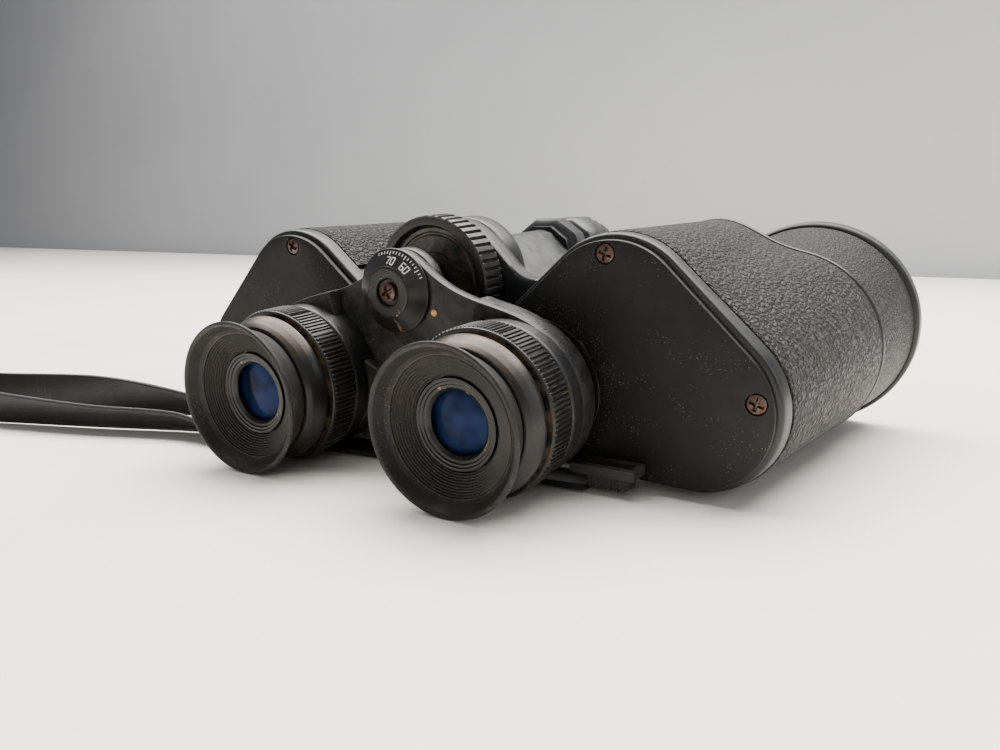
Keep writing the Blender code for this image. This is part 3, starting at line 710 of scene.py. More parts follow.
def camera():
    """Low view from behind the right eyepiece."""
    made = bpy.data.objects.new("camera", bpy.data.cameras.new("camera"))
    bpy.context.scene.collection.objects.link(made)
    made.data.lens = 30.19
    made.data.sensor_width = 36.0
    made.data.clip_start = 0.01
    heading = Matrix.Rotation(math.radians(32.28), 4, "Z")
    pitch = Matrix.Rotation(math.radians(90.0 - 9.31), 4, "X")
    roll = Matrix.Rotation(math.radians(0.75), 4, "Z")
    place = Matrix.Translation(Vector((0.12339, -0.20279, 0.05547)))
    made.matrix_world = place @ heading @ pitch @ roll
    bpy.context.scene.camera = made


def stage_piece(name, corners, material):
    mesh = bpy.data.meshes.new(name)
    mesh.from_pydata(corners, [], [tuple(range(len(corners)))])
    mesh.materials.append(material)
    made = bpy.data.objects.new(name, mesh)
    bpy.context.scene.collection.objects.link(made)
    return made


def area_light(name, place, target, size, power, colour=(1.0, 1.0, 1.0)):
    light = bpy.data.lights.new(name, "AREA")
    light.shape = "RECTANGLE"
    light.size, light.size_y = size
    light.energy = power
    light.color = colour
    made = bpy.data.objects.new(name, light)
    bpy.context.scene.collection.objects.link(made)
    made.location = place
    made.rotation_euler = (Vector(target) - Vector(place)).to_track_quat("-Z", "Y").to_euler()


def studio():
    stage_piece("table", [(-6.0, -0.9, 0), (3.2, -0.9, 0), (3.2, 1.35, 0), (-6.0, 1.35, 0)], table_top())
    wall = [(-6.0, 1.3, -0.4), (3.2, 1.3, -0.4), (3.2, 2.0, 2.6), (-6.0, 2.0, 2.6)]
    stage_piece("backdrop", wall, backdrop())
    world = bpy.data.worlds.new("studio_air")
    bpy.context.scene.world = world
    world.use_nodes = True
    air = world.node_tree.nodes["Background"]
    air.inputs["Color"].default_value = (0.86, 0.90, 1.0, 1.0)
    air.inputs["Strength"].default_value = 0.30
    area_light("overhead", (-0.1, 0.30, 1.0), (0.0, 0.05, 0.0), (1.7, 1.0), 66.0, (1.0, 0.975, 0.94))
    area_light("backdrop_wash", (-0.7, 0.55, 1.3), (-0.7, 1.6, 0.5), (3.2, 0.6), 42.0, (1.0, 1.0, 1.0))
    area_light("front_fill", (0.35, -1.0, 0.5), (0.0, 0.0, 0.0), (0.9, 0.5), 2.0, (1.0, 0.95, 0.88))
    area_light("right_side", (0.9, 0.25, 0.4), (0.05, 0.0, 0.03), (0.4, 0.6), 2.2, (0.97, 0.98, 1.0))


camera()
studio()


# ---------------------------------------------------------------- neck strap

STRAP_WIDTH = 12.0
STRAP_THICKNESS = 1.3
ROLL_CENTRE = (-190.0, -111.0)
# Centre lines in millimetres and the lean of the band from flat in degrees, as in the CAD
LEFT_ROUTE = [
    (-54.0, -41.6, 1.6, 0), (-60.0, -41.6, 2.4, 12), (-72.0, -42.4, 4.0, 35), (-93.0, -44.5, 5.2, 50),
    (-118.0, -54.0, 6.4, 75), (-142.0, -70.0, 6.6, 85), (-160.0, -75.6, 6.65, 90), (-184.0, -76.2, 6.65, 90),
]
RIGHT_ROUTE = [
    (44.0, -36.5, 1.4, 0), (30.0, -36.8, 1.0, 0), (0.0, -39.2, 1.0, 0), (-24.0, -41.8, 1.0, 0),
    (-38.0, -45.4, 1.0, 0), (-54.0, -55.6, 2.6, 20), (-71.0, -58.0, 3.9, 35), (-97.0, -69.6, 4.6, 42),
    (-127.0, -80.6, 5.6, 60), (-146.0, -86.0, 6.6, 85), (-161.0, -86.5, 6.65, 90), (-163.0, -86.4, 6.65, 90),
]


def smooth_route(route, share=6):
    """Points and leans on one smooth curve through the route's own points."""
    padded = [route[0]] + list(route) + [route[-1]]
    smooth = []
    for k in range(1, len(padded) - 2):
        a, b, c, d = padded[k - 1:k + 3]
        for step in range(share):
            t = step / share
            value = []
            for p, q, r, s in zip(a, b, c, d):
                bend = (2 * p - 5 * q + 4 * r - s) * t * t + (3 * q - p - 3 * r + s) * t * t * t
                value.append(0.5 * (2 * q + (r - p) * t + bend))
            smooth.append(value)
    return smooth + [list(route[-1])]


def spiral(start, turn, centre, z):
    """Inward arm of the roll, anticlockwise from straight above the centre to the inner radius."""
    turns = (start - ROLL_INNER) / turn
    count = int(44 * turns)
    points = []
    for k in range(count + 1):
        angle = math.pi / 2 + 2 * math.pi * turns * k / count
        radius = start - turn * turns * k / count
        points.append([centre[0] + radius * math.cos(angle), centre[1] + radius * math.sin(angle), z, 90.0])
    return points


ROLL_OUTER = 33.2
ROLL_INNER = 10.6
ROLL_PITCH = 9.4
ROLL_Z = 6.65
# Where the strap reaches the roll, beyond the CAD runs' ends
RIGHT_ENTRY = [(-176.0, -83.8, 6.65, 90)]
LEFT_ENTRY = [(-172.0, -77.3, 6.65, 90)]
BUCKLE_AT = (-160.0, -75.6)


def roll_path():
    """Right arm inwards, across the centre in an S, and out along the left arm."""
    inward = spiral(ROLL_OUTER - ROLL_PITCH / 2, ROLL_PITCH, ROLL_CENTRE, ROLL_Z)
    outward = list(reversed(spiral(ROLL_OUTER, ROLL_PITCH, ROLL_CENTRE, ROLL_Z)))
    end = Vector((inward[-1][0] - ROLL_CENTRE[0], inward[-1][1] - ROLL_CENTRE[1]))
    angle = math.atan2(end.y, end.x)
    bend = []
    for way in (1, -1):
        middle = (ROLL_CENTRE[0] + way * end.x / 2, ROLL_CENTRE[1] + way * end.y / 2)
        for k in range(1, 13):
            turned_by = math.pi * k / 13 if way == 1 else math.pi * (1 - k / 13)
            a = angle + turned_by
            bend.append([middle[0] + ROLL_INNER / 2 * math.cos(a),
                         middle[1] + ROLL_INNER / 2 * math.sin(a), ROLL_Z, 90.0])
    return inward + bend + outward


def evened(points, gap=1.6):
    """Route with points closer than the gap left out, ends kept."""
    kept = [points[0]]
    for point in points[1:-1]:
        if (Vector(point[:3]) - Vector(kept[-1][:3])).length >= gap:
            kept.append(point)
    return kept + [points[-1]]


def band(name, route):
    """Flat strap with soft edges and a shallow raised border, and its centre line in metres."""
    route = evened(route)
    points = [Vector(point[:3]) for point in route]
    half_wide, half_thick = STRAP_WIDTH / 2, STRAP_THICKNESS / 2
    soft = 0.42
    shape = [(-half_wide + soft, -half_thick), (half_wide - soft, -half_thick),
             (half_wide - 0.12, -half_thick + 0.12),
             (half_wide, -half_thick + soft), (half_wide, half_thick - soft), (half_wide - 0.12, half_thick - 0.12),
             (half_wide - soft, half_thick), (half_wide - 1.0, half_thick), (half_wide - 1.25, half_thick - 0.16),
             (-half_wide + 1.25, half_thick - 0.16), (-half_wide + 1.0, half_thick),
             (-half_wide + soft, half_thick),
             (-half_wide + 0.12, half_thick - 0.12), (-half_wide, half_thick - soft),
             (-half_wide, -half_thick + soft),
             (-half_wide + 0.12, -half_thick + 0.12)]
    bm = bmesh.new()
    rows = []
    for i, point in enumerate(points):
        ahead = points[min(i + 1, len(points) - 1)] - points[max(i - 1, 0)]
        ahead.z = 0.0
        ahead.normalize()
        level = Vector((-ahead.y, ahead.x, 0.0))
        lean = math.radians(route[i][3])
        across = level * math.cos(lean) + Vector((0, 0, 1)) * math.sin(lean)
        through = Vector((0, 0, 1)) * math.cos(lean) - level * math.sin(lean)
        corners = [point + across * u + through * v for u, v in shape]
        lift = max(0.0, 0.3 - min(corner.z for corner in corners))
        points[i] = point + Vector((0, 0, lift))
        rows.append([bm.verts.new(corner + Vector((0, 0, lift))) for corner in corners])
    join_rows(bm, rows)
    bm.faces.new(rows[0])
    bm.faces.new(list(reversed(rows[-1])))
    return bm, [tuple(point * MM) for point in points]


def strap():
    """Neck strap: one length from the left lug to a slider, the other from the right lug through the roll to it."""
    left_route = smooth_route(LEFT_ROUTE[:-1])
    bm, left_path = band("strap_left", left_route)
    left = piece("strap_left", bm, "vinyl", None, ["strap_left_run"], in_rest_frame=True, sharp=50.0)
    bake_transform(left)
    run = smooth_route(RIGHT_ROUTE[:-1] + RIGHT_ENTRY + [
        (ROLL_CENTRE[0], ROLL_CENTRE[1] + ROLL_OUTER - ROLL_PITCH / 2, ROLL_Z, 90)])
    out = smooth_route([(-190.0, -111.0 + ROLL_OUTER, ROLL_Z, 90)] + LEFT_ENTRY + [(*BUCKLE_AT, ROLL_Z, 90)])
    bm, right_path = band("strap_right", run[:-1] + roll_path() + out[1:])
    right = piece("strap_right", bm, "vinyl", "right_half", ["strap_right_run", "strap_roll"], in_rest_frame=True,
                  sharp=50.0)
    slider = buckle()


def buckle():
    """Slider that joins the two lengths, standing on edge with the strap."""
    bm = bmesh.new()
    for low, high, left, right in ((0.35, 1.5, -7.0, 7.0), (13.0, 14.1, -7.0, 7.0), (0.35, 14.1, -8.2, -7.0),
                                   (0.35, 14.1, 7.0, 8.2)):
        bmesh.ops.create_cube(bm, size=1.0, matrix=Matrix.Translation(((left + right) / 2, 0, (low + high) / 2))
                              @ Matrix.Diagonal((right - left, 2.6, high - low, 1.0)))
    bmesh.ops.bevel(bm, geom=list(bm.edges), offset=0.3, segments=2, affect="EDGES")
    bmesh.ops.transform(bm, matrix=Matrix.Translation((BUCKLE_AT[0], BUCKLE_AT[1], 0.0))
                        @ Matrix.Rotation(math.radians(12.0), 4, "Z"), verts=bm.verts)
    return piece("strap_slider", bm, "anodised", "right_half", in_rest_frame=True)


def keeper(side):
    """Ridged moulding that holds the strap end under the lug."""
    body = "right_half" if side > 0 else "left_half"
    half = "right" if side > 0 else "left"
    bm = bmesh.new()
    bmesh.ops.create_cube(bm, size=1.0, matrix=Matrix.Translation((side * 49.0, -38.2, 3.0))
                          @ Matrix.Diagonal((9.4, 5.2, 2.6, 1.0)))
    for k in range(6):
        bmesh.ops.create_cube(bm, size=1.0, matrix=Matrix.Translation((side * 49.0 - 4.0 + 1.6 * k, -38.2, 3.0))
                              @ Matrix.Diagonal((0.7, 5.8, 3.2, 1.0)))
    bmesh.ops.bevel(bm, geom=list(bm.edges), offset=0.16, segments=2, affect="EDGES")
    piece(f"{half}_strap_keeper", bm, "rubber", body, in_rest_frame=True)


strap()
keeper(1)
keeper(-1)


# ---------------------------------------------------------------- housings and hinge

LUGS = {"right": ((7.6, 13.6), (64.8, 84.0)), "left": ((13.9, 20.3), (54.3, 64.5))}
TUBE_END = 54.0


def swoop(point, y, radius, blend, hollow=0.0):
    """Hinge lug or tube with a concave sweep into the housing, as far as the housing's wall."""
    reach = math.hypot(point[0], point[1])
    joined = smooth_union(reach - radius, housing_shape(point, y) + 0.4, blend)
    limit = segment_distance(point, (0.0, 0.0), (38.0, -7.0)) - max(radius, 14.0) - 0.6
    return max(joined, limit, hollow - reach)


def swoop_mesh(span, radius, blend, side, hollow=0.0, soft=0.5, stations=2):
    """Swept web between two Y values, its ends softened."""
    rear, front = span
    places = [(rear, -soft), (rear + 0.3 * soft, -0.3 * soft), (rear + soft, 0.0)]
    for k in range(1, stations):
        places.append((rear + soft + (front - rear - 2 * soft) * k / stations, 0.0))
    places += [(front - soft, 0.0), (front - 0.3 * soft, -0.3 * soft), (front, -soft)]
    bm = bmesh.new()
    rows = []
    centre = (19.0, -8.0)
    for y, inset in places:
        outline = outline_at(lambda point: swoop(point, y, radius, blend, hollow), inset, centre, 128)
        rows.append([bm.verts.new((side * x, y, z)) for x, z in outline])
    join_rows(bm, rows)
    bm.faces.new(rows[0])
    bm.faces.new(list(reversed(rows[-1])))
    return bm


def housing(half):
    """Die-cast housing with its rear flange, hinge web and lugs."""
    side = SIDES[half]
    stations = [(1.85, -0.1), (1.95, 0.45), (2.3, 0.8), (2.9, 0.95), (4.8, 1.0), (6.3, 0.98), (6.6, 0.7),
                (6.6, 0.0)]
    stations += [(10, 0.0), (20, 0.0), (30, 0.0), (40, 0.0), (50, 0.0), (60, 0.0), (69.6, 0.0),
                 (HOUSING_Y[1], -0.3)]
    bm = loft(stations, side)
    rear_lug, front_lug = LUGS[half]
    add_mesh(bm, swoop_mesh(rear_lug, REAR_LUG, 25.0, side, 0.0, 0.6, 3))
    if half == "right":
        add_mesh(bm, swoop_mesh((20.65, TUBE_END), TUBE_RADIUS, 13.0, side, 0.0, 0.4, 5))
        add_mesh(bm, swoop_mesh((front_lug[0], 69.5), 8.2, 10.0, side, 0.0, 0.6, 2))
        collar = [(0, 64.8), (9.4, 64.8), (9.4, 66.8), (10.5, 67.4), (10.9, 68.0), (10.9, 78.6), (10.5, 79.2),
                  (9.4, 79.8),
                  (9.4, 84.0), (0, 84.0)]
    else:
        add_mesh(bm, swoop_mesh((20.4, TUBE_END), TUBE_RADIUS, 13.0, side, 9.4, 0.4, 5))
        add_mesh(bm, swoop_mesh(front_lug, 8.2, 10.0, side, 0.0, 0.6, 2))
        collar = [(0, 54.3), (9.6, 54.3), (9.6, 56.2), (11.1, 56.9), (11.6, 57.5), (11.6, 62.4), (11.1, 63.1),
                  (9.6, 63.7),
                  (9.6, 64.5), (0, 64.5)]
    add_mesh(bm, lathe_mesh(collar, steps=10, closed=False))
    piece(f"{half}_housing_shell", bm, "body", f"{half}_half", [f"{half}_prism_housing"], sharp=38.0)


def covering_gap(point):
    """True on the strip facing the hinge, which the web takes."""
    towards_hinge = -0.664 * (point[0] - OCULAR[0]) + 0.749 * (point[1] - OCULAR[1]) > 8.0
    return towards_hinge and point[0] < 29.0


def covering(half):
    """Leatherette wrapped round the housing, open at the hinge web."""
    side = SIDES[half]
    low, high = 0.15, 1.25
    stations = [(6.65, 0.7), (6.75, 1.1), (7.1, high)]
    stations += [(y, high) for y in (12, 20, 28, 36, 44, 52, 60)]
    stations += [(69.2, high), (69.55, 1.05), (69.7, 0.7)]
    first = outline_at(lambda p: housing_shape(p, 7.0), high, SECTION_CENTRE, SECTION_COUNT)
    last = outline_at(lambda p: housing_shape(p, 69.6), high, SECTION_CENTRE, SECTION_COUNT)
    keep = [i for i in range(SECTION_COUNT) if not covering_gap(first[i]) and not covering_gap(last[i])]
    start = next(i for i in keep if (i - 1) % SECTION_COUNT not in keep)
    order = [(start + k) % SECTION_COUNT for k in range(len(keep))]
    bm = bmesh.new()
    rows = []
    for y, offset in stations:
        outside = section(y, offset, side)
        inside = section(y, low, side)
        loop = [outside[i] for i in order] + [inside[i] for i in reversed(order)]
        rows.append([bm.verts.new(point) for point in loop])
    join_rows(bm, rows)
    bm.faces.new(rows[0])
    bm.faces.new(list(reversed(rows[-1])))
    bmesh.ops.triangulate(bm, faces=[face for face in bm.faces if len(face.verts) > 4])
    piece(f"{half}_leatherette", bm, "leatherette", f"{half}_half", [f"{half}_housing_covering"], sharp=45.0)


def covers(half):
    """Flat rear plate with its screw seats and screws, and the proud front plate."""
    side = SIDES[half]
    rear_outline = sided(outline_at(rear_shape, -0.35, SECTION_CENTRE, SECTION_COUNT), side)
    holes = [(mirrored(OCULAR, side), 15.7)] + [(mirrored(at, side), 2.35) for at in PLATE_SCREWS]
    piece(f"{half}_rear_plate", plate_mesh(rear_outline, (0.0, 1.8), 0.45, holes), "plate", f"{half}_half",
          [f"{half}_rear_cover"])
    front_outline = sided(outline_at(front_shape, 1.55, SECTION_CENTRE, SECTION_COUNT), side)
    piece(f"{half}_front_plate", plate_mesh(front_outline, (70.2, 71.9), 0.6, [(mirrored(OBJECTIVE, side), 19.5)]),
          "body", f"{half}_half", [f"{half}_front_cover"])
    for label, at in zip(("upper", "outer"), PLATE_SCREWS):
        cross_screw(f"{half}_{label}_plate_screw", mirrored(at, side), -0.35, 2.0, f"{half}_half",
                    [f"{half}_{label}_cover_screw"], 0.35 + 0.9 * side)


def cross_screw(name, at, y, radius, body, nodes, turn):
    """Raised head facing the rear with a real cross recess."""
    count = 48
    rings = 9
    bm = bmesh.new()
    rows = []
    for k in range(rings + 1):
        share = 1 - k / rings
        row = []
        for i in range(count):
            angle = 2 * math.pi * i / count
            x, z = radius * share * math.cos(angle), radius * share * math.sin(angle)
            u = x * math.cos(turn) + z * math.sin(turn)
            v = -x * math.sin(turn) + z * math.cos(turn)
            dome = 0.5 * radius * 0.36 * (1 - share * share)
            slot = max(0.0, min(1.0, (0.36 * radius / 2 - min(abs(u), abs(v))) / 0.10))
            reach = max(0.0, min(1.0, (0.72 * radius - max(abs(u), abs(v))) / 0.12))
            depth = 0.42 * radius * min(slot, reach)
            row.append(bm.verts.new((at[0] + x, y + 0.45 - dome + depth, at[1] + z)))
        rows.append(row)
    for near, far in zip(rows[:-1], rows[1:-1]):
        for i in range(count):
            j = (i + 1) % count
            bm.faces.new((near[i], near[j], far[j], far[i]))
    for v in rows[-1][1:]:
        bm.verts.remove(v)
    tip = rows[-1][0]
    inner = rows[-2]
    for i in range(count):
        bm.faces.new((inner[i], inner[(i + 1) % count], tip))
    skirt = [bm.verts.new((v.co.x, y + 1.6, v.co.z)) for v in rows[0]]
    for i in range(count):
        j = (i + 1) % count
        bm.faces.new((skirt[i], skirt[j], rows[0][j], rows[0][i]))
    bm.faces.new(skirt)
    piece(name, bm, "steel", body, nodes, sharp=28.0)


def objective(half):
    side = SIDES[half]
    at = mirrored(OBJECTIVE, side)
    body = f"{half}_half"
    threads = [(27.9, 104.5), (24.1, 72.2), (20.3, 72.2)]
    for k in range(12):
        y = 74.0 + 1.8 * k
        threads += [(20.35 + 0.157 * (y - 72.2), y), (20.0 + 0.157 * (y - 72.2), y + 0.9)]
    threads += [(24.0, 95.5), (26.1, 95.5), (26.1, 104.5)]
    turned(f"{half}_barrel_tube", threads, "body", body, at, [f"{half}_objective_barrel"], 0.15, sharp=25.0)
    skin = [(29.7, 104.2), (25.9, 73.6), (25.2, 72.6), (24.5, 72.6), (28.15, 104.2)]
    turned(f"{half}_barrel_leatherette", skin, "barrel_leatherette", body, at, [f"{half}_barrel_covering"], 0.4)
    rim = [(30.2, 111.4), (31.0, 110.6), (31.0, 105.6), (30.2, 104.8), (26.4, 104.8), (26.4, 108.6), (26.8, 109.0),
           (26.4, 109.4), (26.8, 109.8), (26.4, 110.2), (26.8, 110.6), (26.9, 111.4)]
    turned(f"{half}_front_ring", rim, "body", body, at, [f"{half}_objective_ring"], 0.3)
    retainer = [(26.1, 108.2), (26.1, 104.9), (25.2, 104.9), (25.2, 105.6), (24.8, 106.4), (24.9, 106.7),
                (24.4, 107.4),
                (24.0, 108.2)]
    turned(f"{half}_lens_retainer", retainer, "anodised", body, at, [f"{half}_objective_retainer"], 0.1)
    curve = [(25.4 * math.sin(a), 101.6 + 2.7 * (math.cos(a))) for a in (math.pi / 2 * k / 12 for k in range(13))]
    back = [(25.4, 98.4)] + [(25.4 * s, 95.8 + 2.6 * s * s) for s in (0.9, 0.75, 0.6, 0.45, 0.3, 0.15, 0.0)]
    turned(f"{half}_front_lens", curve + back, "front_lens", body, at,
           [f"{half}_objective_lens"], 0.0, closed=False)


for side_name in SIDES:
    housing(side_name)
    covering(side_name)
    covers(side_name)
    objective(side_name)


# ---------------------------------------------------------------- eyepieces and focusing

def ribs(count, depth, low, high, edge, share=0.5):
    """Relief for lathe_mesh: straight ribs along Y on the surface at the given radius."""
    def relief(angle, radius, y):
        if radius < edge or not low <= y <= high:
            return radius
        phase = (angle * count / (2 * math.pi)) % 1.0
        return radius - (depth if phase >= share else 0.0)
    return relief


def eyepiece(half):
    side = SIDES[half]
    at = mirrored(OCULAR, side)
    carrier = "right_ocular" if half == "right" else "left_bridge"
    bridge = f"{half}_bridge"
    seat = [(14.8, 7.0), (14.8, 2.1), (15.35, 1.9), (15.35, -0.3), (16.3, -0.5), (16.3, -1.5), (14.2, -1.5),
            (14.2, 7.0)]
    turned(f"{half}_eyepiece_seat", seat, "anodised", f"{half}_half", at, [f"{half}_guide_tube"], 0.2)
    tube = [(13.9, 7.0), (13.9, -25.5), (12.7, -25.5), (12.7, 7.0)]
    turned(f"{half}_eyepiece_sleeve", tube, "bronzed", bridge, at, [f"{half}_eyepiece_tube"], 0.15)
    barrel = [(12.4, -9.0), (12.4, -27.0), (14.6, -26.5), (17.2, -26.5), (17.4, -26.8), (17.35, -27.6),
              (17.0, -28.8),
              (16.3, -30.4), (15.6, -31.4), (15.2, -31.6), (9.7, -31.6), (9.7, -26.0), (10.9, -24.0), (10.9, -9.0)]
    turned(f"{half}_ocular_body", barrel, "bronzed", carrier, at, [f"{half}_ocular_barrel"], 0.2)
    ring_body = "dioptre_ring" if half == "right" else bridge
    ring_node = "right_dioptre_ring" if half == "right" else "left_eyepiece_ring"
    knurl = [(18.0, -17.9), (18.25, -18.1), (18.3, -18.3), (18.6, -18.5), (18.6, -24.8), (18.3, -25.05),
             (18.2, -25.3), (17.9, -25.5), (14.2, -25.5), (14.2, -17.9)]
    turned(f"{half}_knurled_ring", knurl, "anodised", ring_body, at, [ring_node], 0.0, steps=4 * 112,
           relief=ribs(112, 0.32, -24.9, -18.4, 18.5), sharp=25.0)
    eyecup(half, at, carrier)
    retainer = [(9.7, -31.8), (9.7, -33.3), (9.1, -33.3), (8.9, -33.0), (8.4, -33.0), (8.2, -32.7), (7.6, -32.6),
                (6.9, -32.0), (6.9, -31.8)]
    turned(f"{half}_eye_retainer", retainer, "anodised", carrier, at,
           [f"{half}_eye_lens_retainer"], 0.06, sharp=20.0)
    dome = [(9.3 * s, -31.3 + 1.5 * s * s) for s in (0.0, 0.12, 0.25, 0.38, 0.5, 0.62, 0.75, 0.88, 1.0)]
    lens = [(0.0, -26.8), (9.3, -27.6)] + list(reversed(dome))
    turned(f"{half}_eye_glass", lens, "lens", carrier, at, [f"{half}_eye_lens"], 0.0, closed=False)


def eyecup(half, at, carrier):
    """Rubber cup with a rounded lip and fine steps down to the lens cell."""
    profile = [(14.9, -31.8), (15.1, -32.6), (15.5, -33.6), (16.0, -34.8), (16.35, -35.6), (16.7, -36.4),
               (17.4, -37.3),
               (18.0, -37.9), (18.1, -38.3), (18.0, -38.6), (17.7, -38.8), (17.3, -38.78), (16.9, -38.5),
               (16.4, -37.6),
               (15.7, -36.4), (15.0, -35.7), (14.7, -35.6)]
    steps = 9
    first, last = (14.6, -35.7), (10.1, -32.9)
    for k in range(steps):
        share, later = k / steps, (k + 1) / steps
        radius = first[0] + (last[0] - first[0]) * share
        next_radius = first[0] + (last[0] - first[0]) * later
        depth = first[1] + (last[1] - first[1]) * share
        next_depth = first[1] + (last[1] - first[1]) * later
        profile += [(radius, depth - 0.08), (radius - 0.06, next_depth + 0.10), (next_radius, next_depth - 0.08)]
    profile += [(10.1, -31.9)]
    turned(f"{half}_eyecup_rubber", profile, "rubber", carrier, at, [f"{half}_eyecup"], 0.07, sharp=26.0)


def arm(half):
    """Bridge arm: flat plate swelling round the eyepiece, with the collar that holds it."""
    side = SIDES[half]
    centre = (18.0, -14.0)
    hub_span = (-13.5, -10.4) if half == "right" else (-10.1, -7.0)
    outline = sided(outline_at(arm_shape, 0.0, centre, 160), side)
    hub_clear = 21.0
    outer = outline_at(lambda p: max(arm_shape(p), hub_clear - math.hypot(p[0], p[1])), 0.0, (30.0, -23.0), 160)
    bm = plate_mesh(outline, hub_span, 0.5)
    add_mesh(bm, plate_mesh(sided(outer, side), (-13.5, -7.0), 0.5))
    piece(f"{half}_arm", bm, "arm", f"{half}_bridge", [f"{half}_bridge_arm"], sharp=35.0)
    collar = [(18.2, -7.6), (18.2, -16.6), (18.0, -17.2), (17.5, -17.5), (14.2, -17.5), (14.2, -7.6)]
    turned(f"{half}_arm_collar", collar, "arm", f"{half}_bridge", mirrored(OCULAR, side), (), 0.3)


def focusing():
    wheel = [(15.5, 7.2), (15.85, 7.05), (16.1, 6.6), (16.1, 0.45), (15.95, 0.0), (15.6, -0.25), (15.2, -0.3),
             (13.9, -0.3), (13.65, -0.15), (13.5, 0.2), (13.3, 1.2), (13.0, 1.5), (12.2, 1.55), (11.9, 1.8),
             (11.5, 1.8),
             (11.2, 1.5), (7.4, 1.4), (7.2, 0.9), (5.4, 0.9), (5.1, 1.3), (4.3, 1.3), (4.3, 7.2)]
    turned("knurled_wheel", wheel, "wheel", "focus_wheel", nodes=["focus_wheel"], soft=0.0, steps=6 * 50,
           relief=ribs(50, 0.85, 0.3, 6.7, 16.0, 0.60), sharp=25.0)
    shaft = [(0.0, 36.0), (4.0, 36.0), (4.0, 35.4)]
    for k in range(20):
        y = 35.0 - 1.1 * k
        shaft += [(4.0, y), (3.6, y - 0.55)]
    shaft += [(4.0, 12.0), (4.0, -13.5), (0.0, -13.5)]
    turned("threaded_shaft", shaft, "anodised", "left_bridge", nodes=["focus_shaft"],
           soft=0.0, closed=False, steps=64,
           sharp=20.0)
    cap = [(0.0, -13.8), (9.5, -13.8), (9.8, -14.0), (9.7, -14.3), (9.3, -14.5), (6.0, -16.65), (5.8, -16.85),
           (5.4, -16.95), (3.5, -16.95), (3.2, -16.8), (2.95, -15.95), (0.0, -15.9)]
    turned("scale_cone", cap, "anodised", "left_bridge", nodes=["scale_cap"], soft=0.06, closed=False, sharp=24.0)
    cross_screw("cap_screw", (0.0, 0.0), -17.25, 2.1, "left_bridge", ["scale_cap_screw"], 0.4)
    end_cap = [(2.6, 88.0), (7.4, 88.0), (8.2, 87.3), (8.2, 84.9), (2.6, 84.9)]
    turned("tripod_thread_cap", end_cap, "anodised", "right_half", nodes=["hinge_end_cap"], soft=0.3,
           relief=ribs(40, 0.3, 84.95, 87.25, 8.1), steps=160, sharp=25.0)
    dot = [(0.0, -13.55)] + [(0.8 * s, -13.8 + 0.12 * s * s) for s in (1.0, 0.8, 0.6, 0.4, 0.2, 0.0)]
    turned("orange_index", dot, "dot", "right_bridge", (10.5, -4.6), ["index_dot"], 0.0, closed=False, steps=32)


CONE_NEAR = (9.3, -14.5)
CONE_FAR = (6.0, -16.65)
CONE_SLOPE = math.atan2(CONE_NEAR[1] - CONE_FAR[1], CONE_NEAR[0] - CONE_FAR[0])


def on_cone(angle, share, lift=0.04):
    """Point on the scale cap's cone at an angle, from its wide end (0) to its narrow end (1), in millimetres."""
    radius = CONE_NEAR[0] + (CONE_FAR[0] - CONE_NEAR[0]) * share
    y = CONE_NEAR[1] + (CONE_FAR[1] - CONE_NEAR[1]) * share
    out = Vector((math.cos(angle), 0.0, math.sin(angle)))
    normal = (out * math.sin(CONE_SLOPE) + Vector((0.0, -1.0, 0.0)) * math.cos(CONE_SLOPE)).normalized()
    return Vector((radius * math.cos(angle), y, radius * math.sin(angle))) + normal * lift


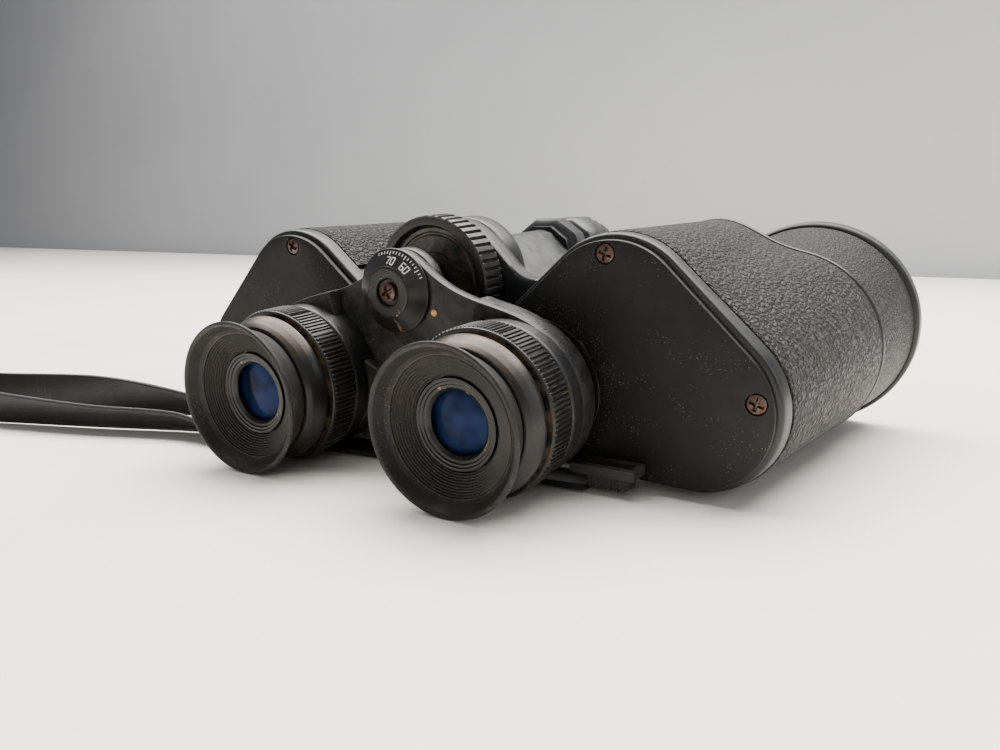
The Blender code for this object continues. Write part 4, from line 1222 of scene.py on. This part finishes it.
def cone_mark(bm, angle, spans):
    """Thin raised strokes on the cone; each is (angle from, share from, angle to, share to, width in mm)."""
    for a0, s0, a1, s1, width in spans:
        start, end = on_cone(angle + a0, s0), on_cone(angle + a1, s1)
        along = (end - start).normalized()
        centre = (angle + (a0 + a1) / 2, (s0 + s1) / 2)
        middle = on_cone(*centre, 1.0) - on_cone(*centre, 0.0)
        across = along.cross(middle.normalized()) * width / 2
        top = [start - across, start + across, end + across, end - across]
        low = [point - middle * 0.08 for point in top]
        upper = [bm.verts.new(point) for point in top]
        lower = [bm.verts.new(point) for point in low]
        bm.faces.new(upper)
        bm.faces.new(list(reversed(lower)))
        for i in range(4):
            j = (i + 1) % 4
            bm.faces.new((lower[i], lower[j], upper[j], upper[i]))


# Seven-bar strokes of the two scale figures: a unit wide and two units high
DIGITS = {
    "0": ((0, 0, 1, 0), (1, 0, 1, 2), (1, 2, 0, 2), (0, 2, 0, 0)),
    "6": ((1, 2, 0, 2), (0, 2, 0, 0), (0, 0, 1, 0), (1, 0, 1, 1), (1, 1, 0, 1)),
    "7": ((0, 2, 1, 2), (1, 2, 0.35, 0)),
}


def scale_marks():
    """Millimetre ticks and the figures 60 and 70 on the cone."""
    bm = bmesh.new()
    unit = 0.115
    for k in range(17):
        angle = math.radians(112.0 - 5.6 * k)
        cone_mark(bm, angle, [(0.0, 0.04, 0.0, 0.30 if k % 5 == 4 else 0.20, 0.20)])
    for text, degrees in (("70", 84.0), ("60", 50.0)):
        for place, digit in enumerate(text):
            shift = (-1.25 if place == 0 else 0.25) * unit
            strokes = []
            for x0, z0, x1, z1 in DIGITS[digit]:
                strokes.append((-(shift + x0 * unit), 0.86 - 0.22 * z0,
                                -(shift + x1 * unit), 0.86 - 0.22 * z1, 0.22))
            cone_mark(bm, math.radians(degrees), strokes)
    piece("scale_marks", bm, "white", "left_bridge")


for side_name in SIDES:
    eyepiece(side_name)
    arm(side_name)
focusing()
scale_marks()


# ---------------------------------------------------------------- CAD pieces that keep their shape

def dress_cad_nodes():
    """Better finish on the CAD nodes left showing."""
    looks = {"prism": "prism", "field_lens": "prism", "strap_lug": "rubber", "hinge_axle": "steel"}
    for name in frame["nodes"]:
        made = bpy.data.objects.get(name)
        look = next((value for key, value in looks.items() if key in name), None)
        if made is None or look is None or "housing" in name:
            continue
        for slot in made.material_slots:
            slot.material = LOOKS[look]


dress_cad_nodes()
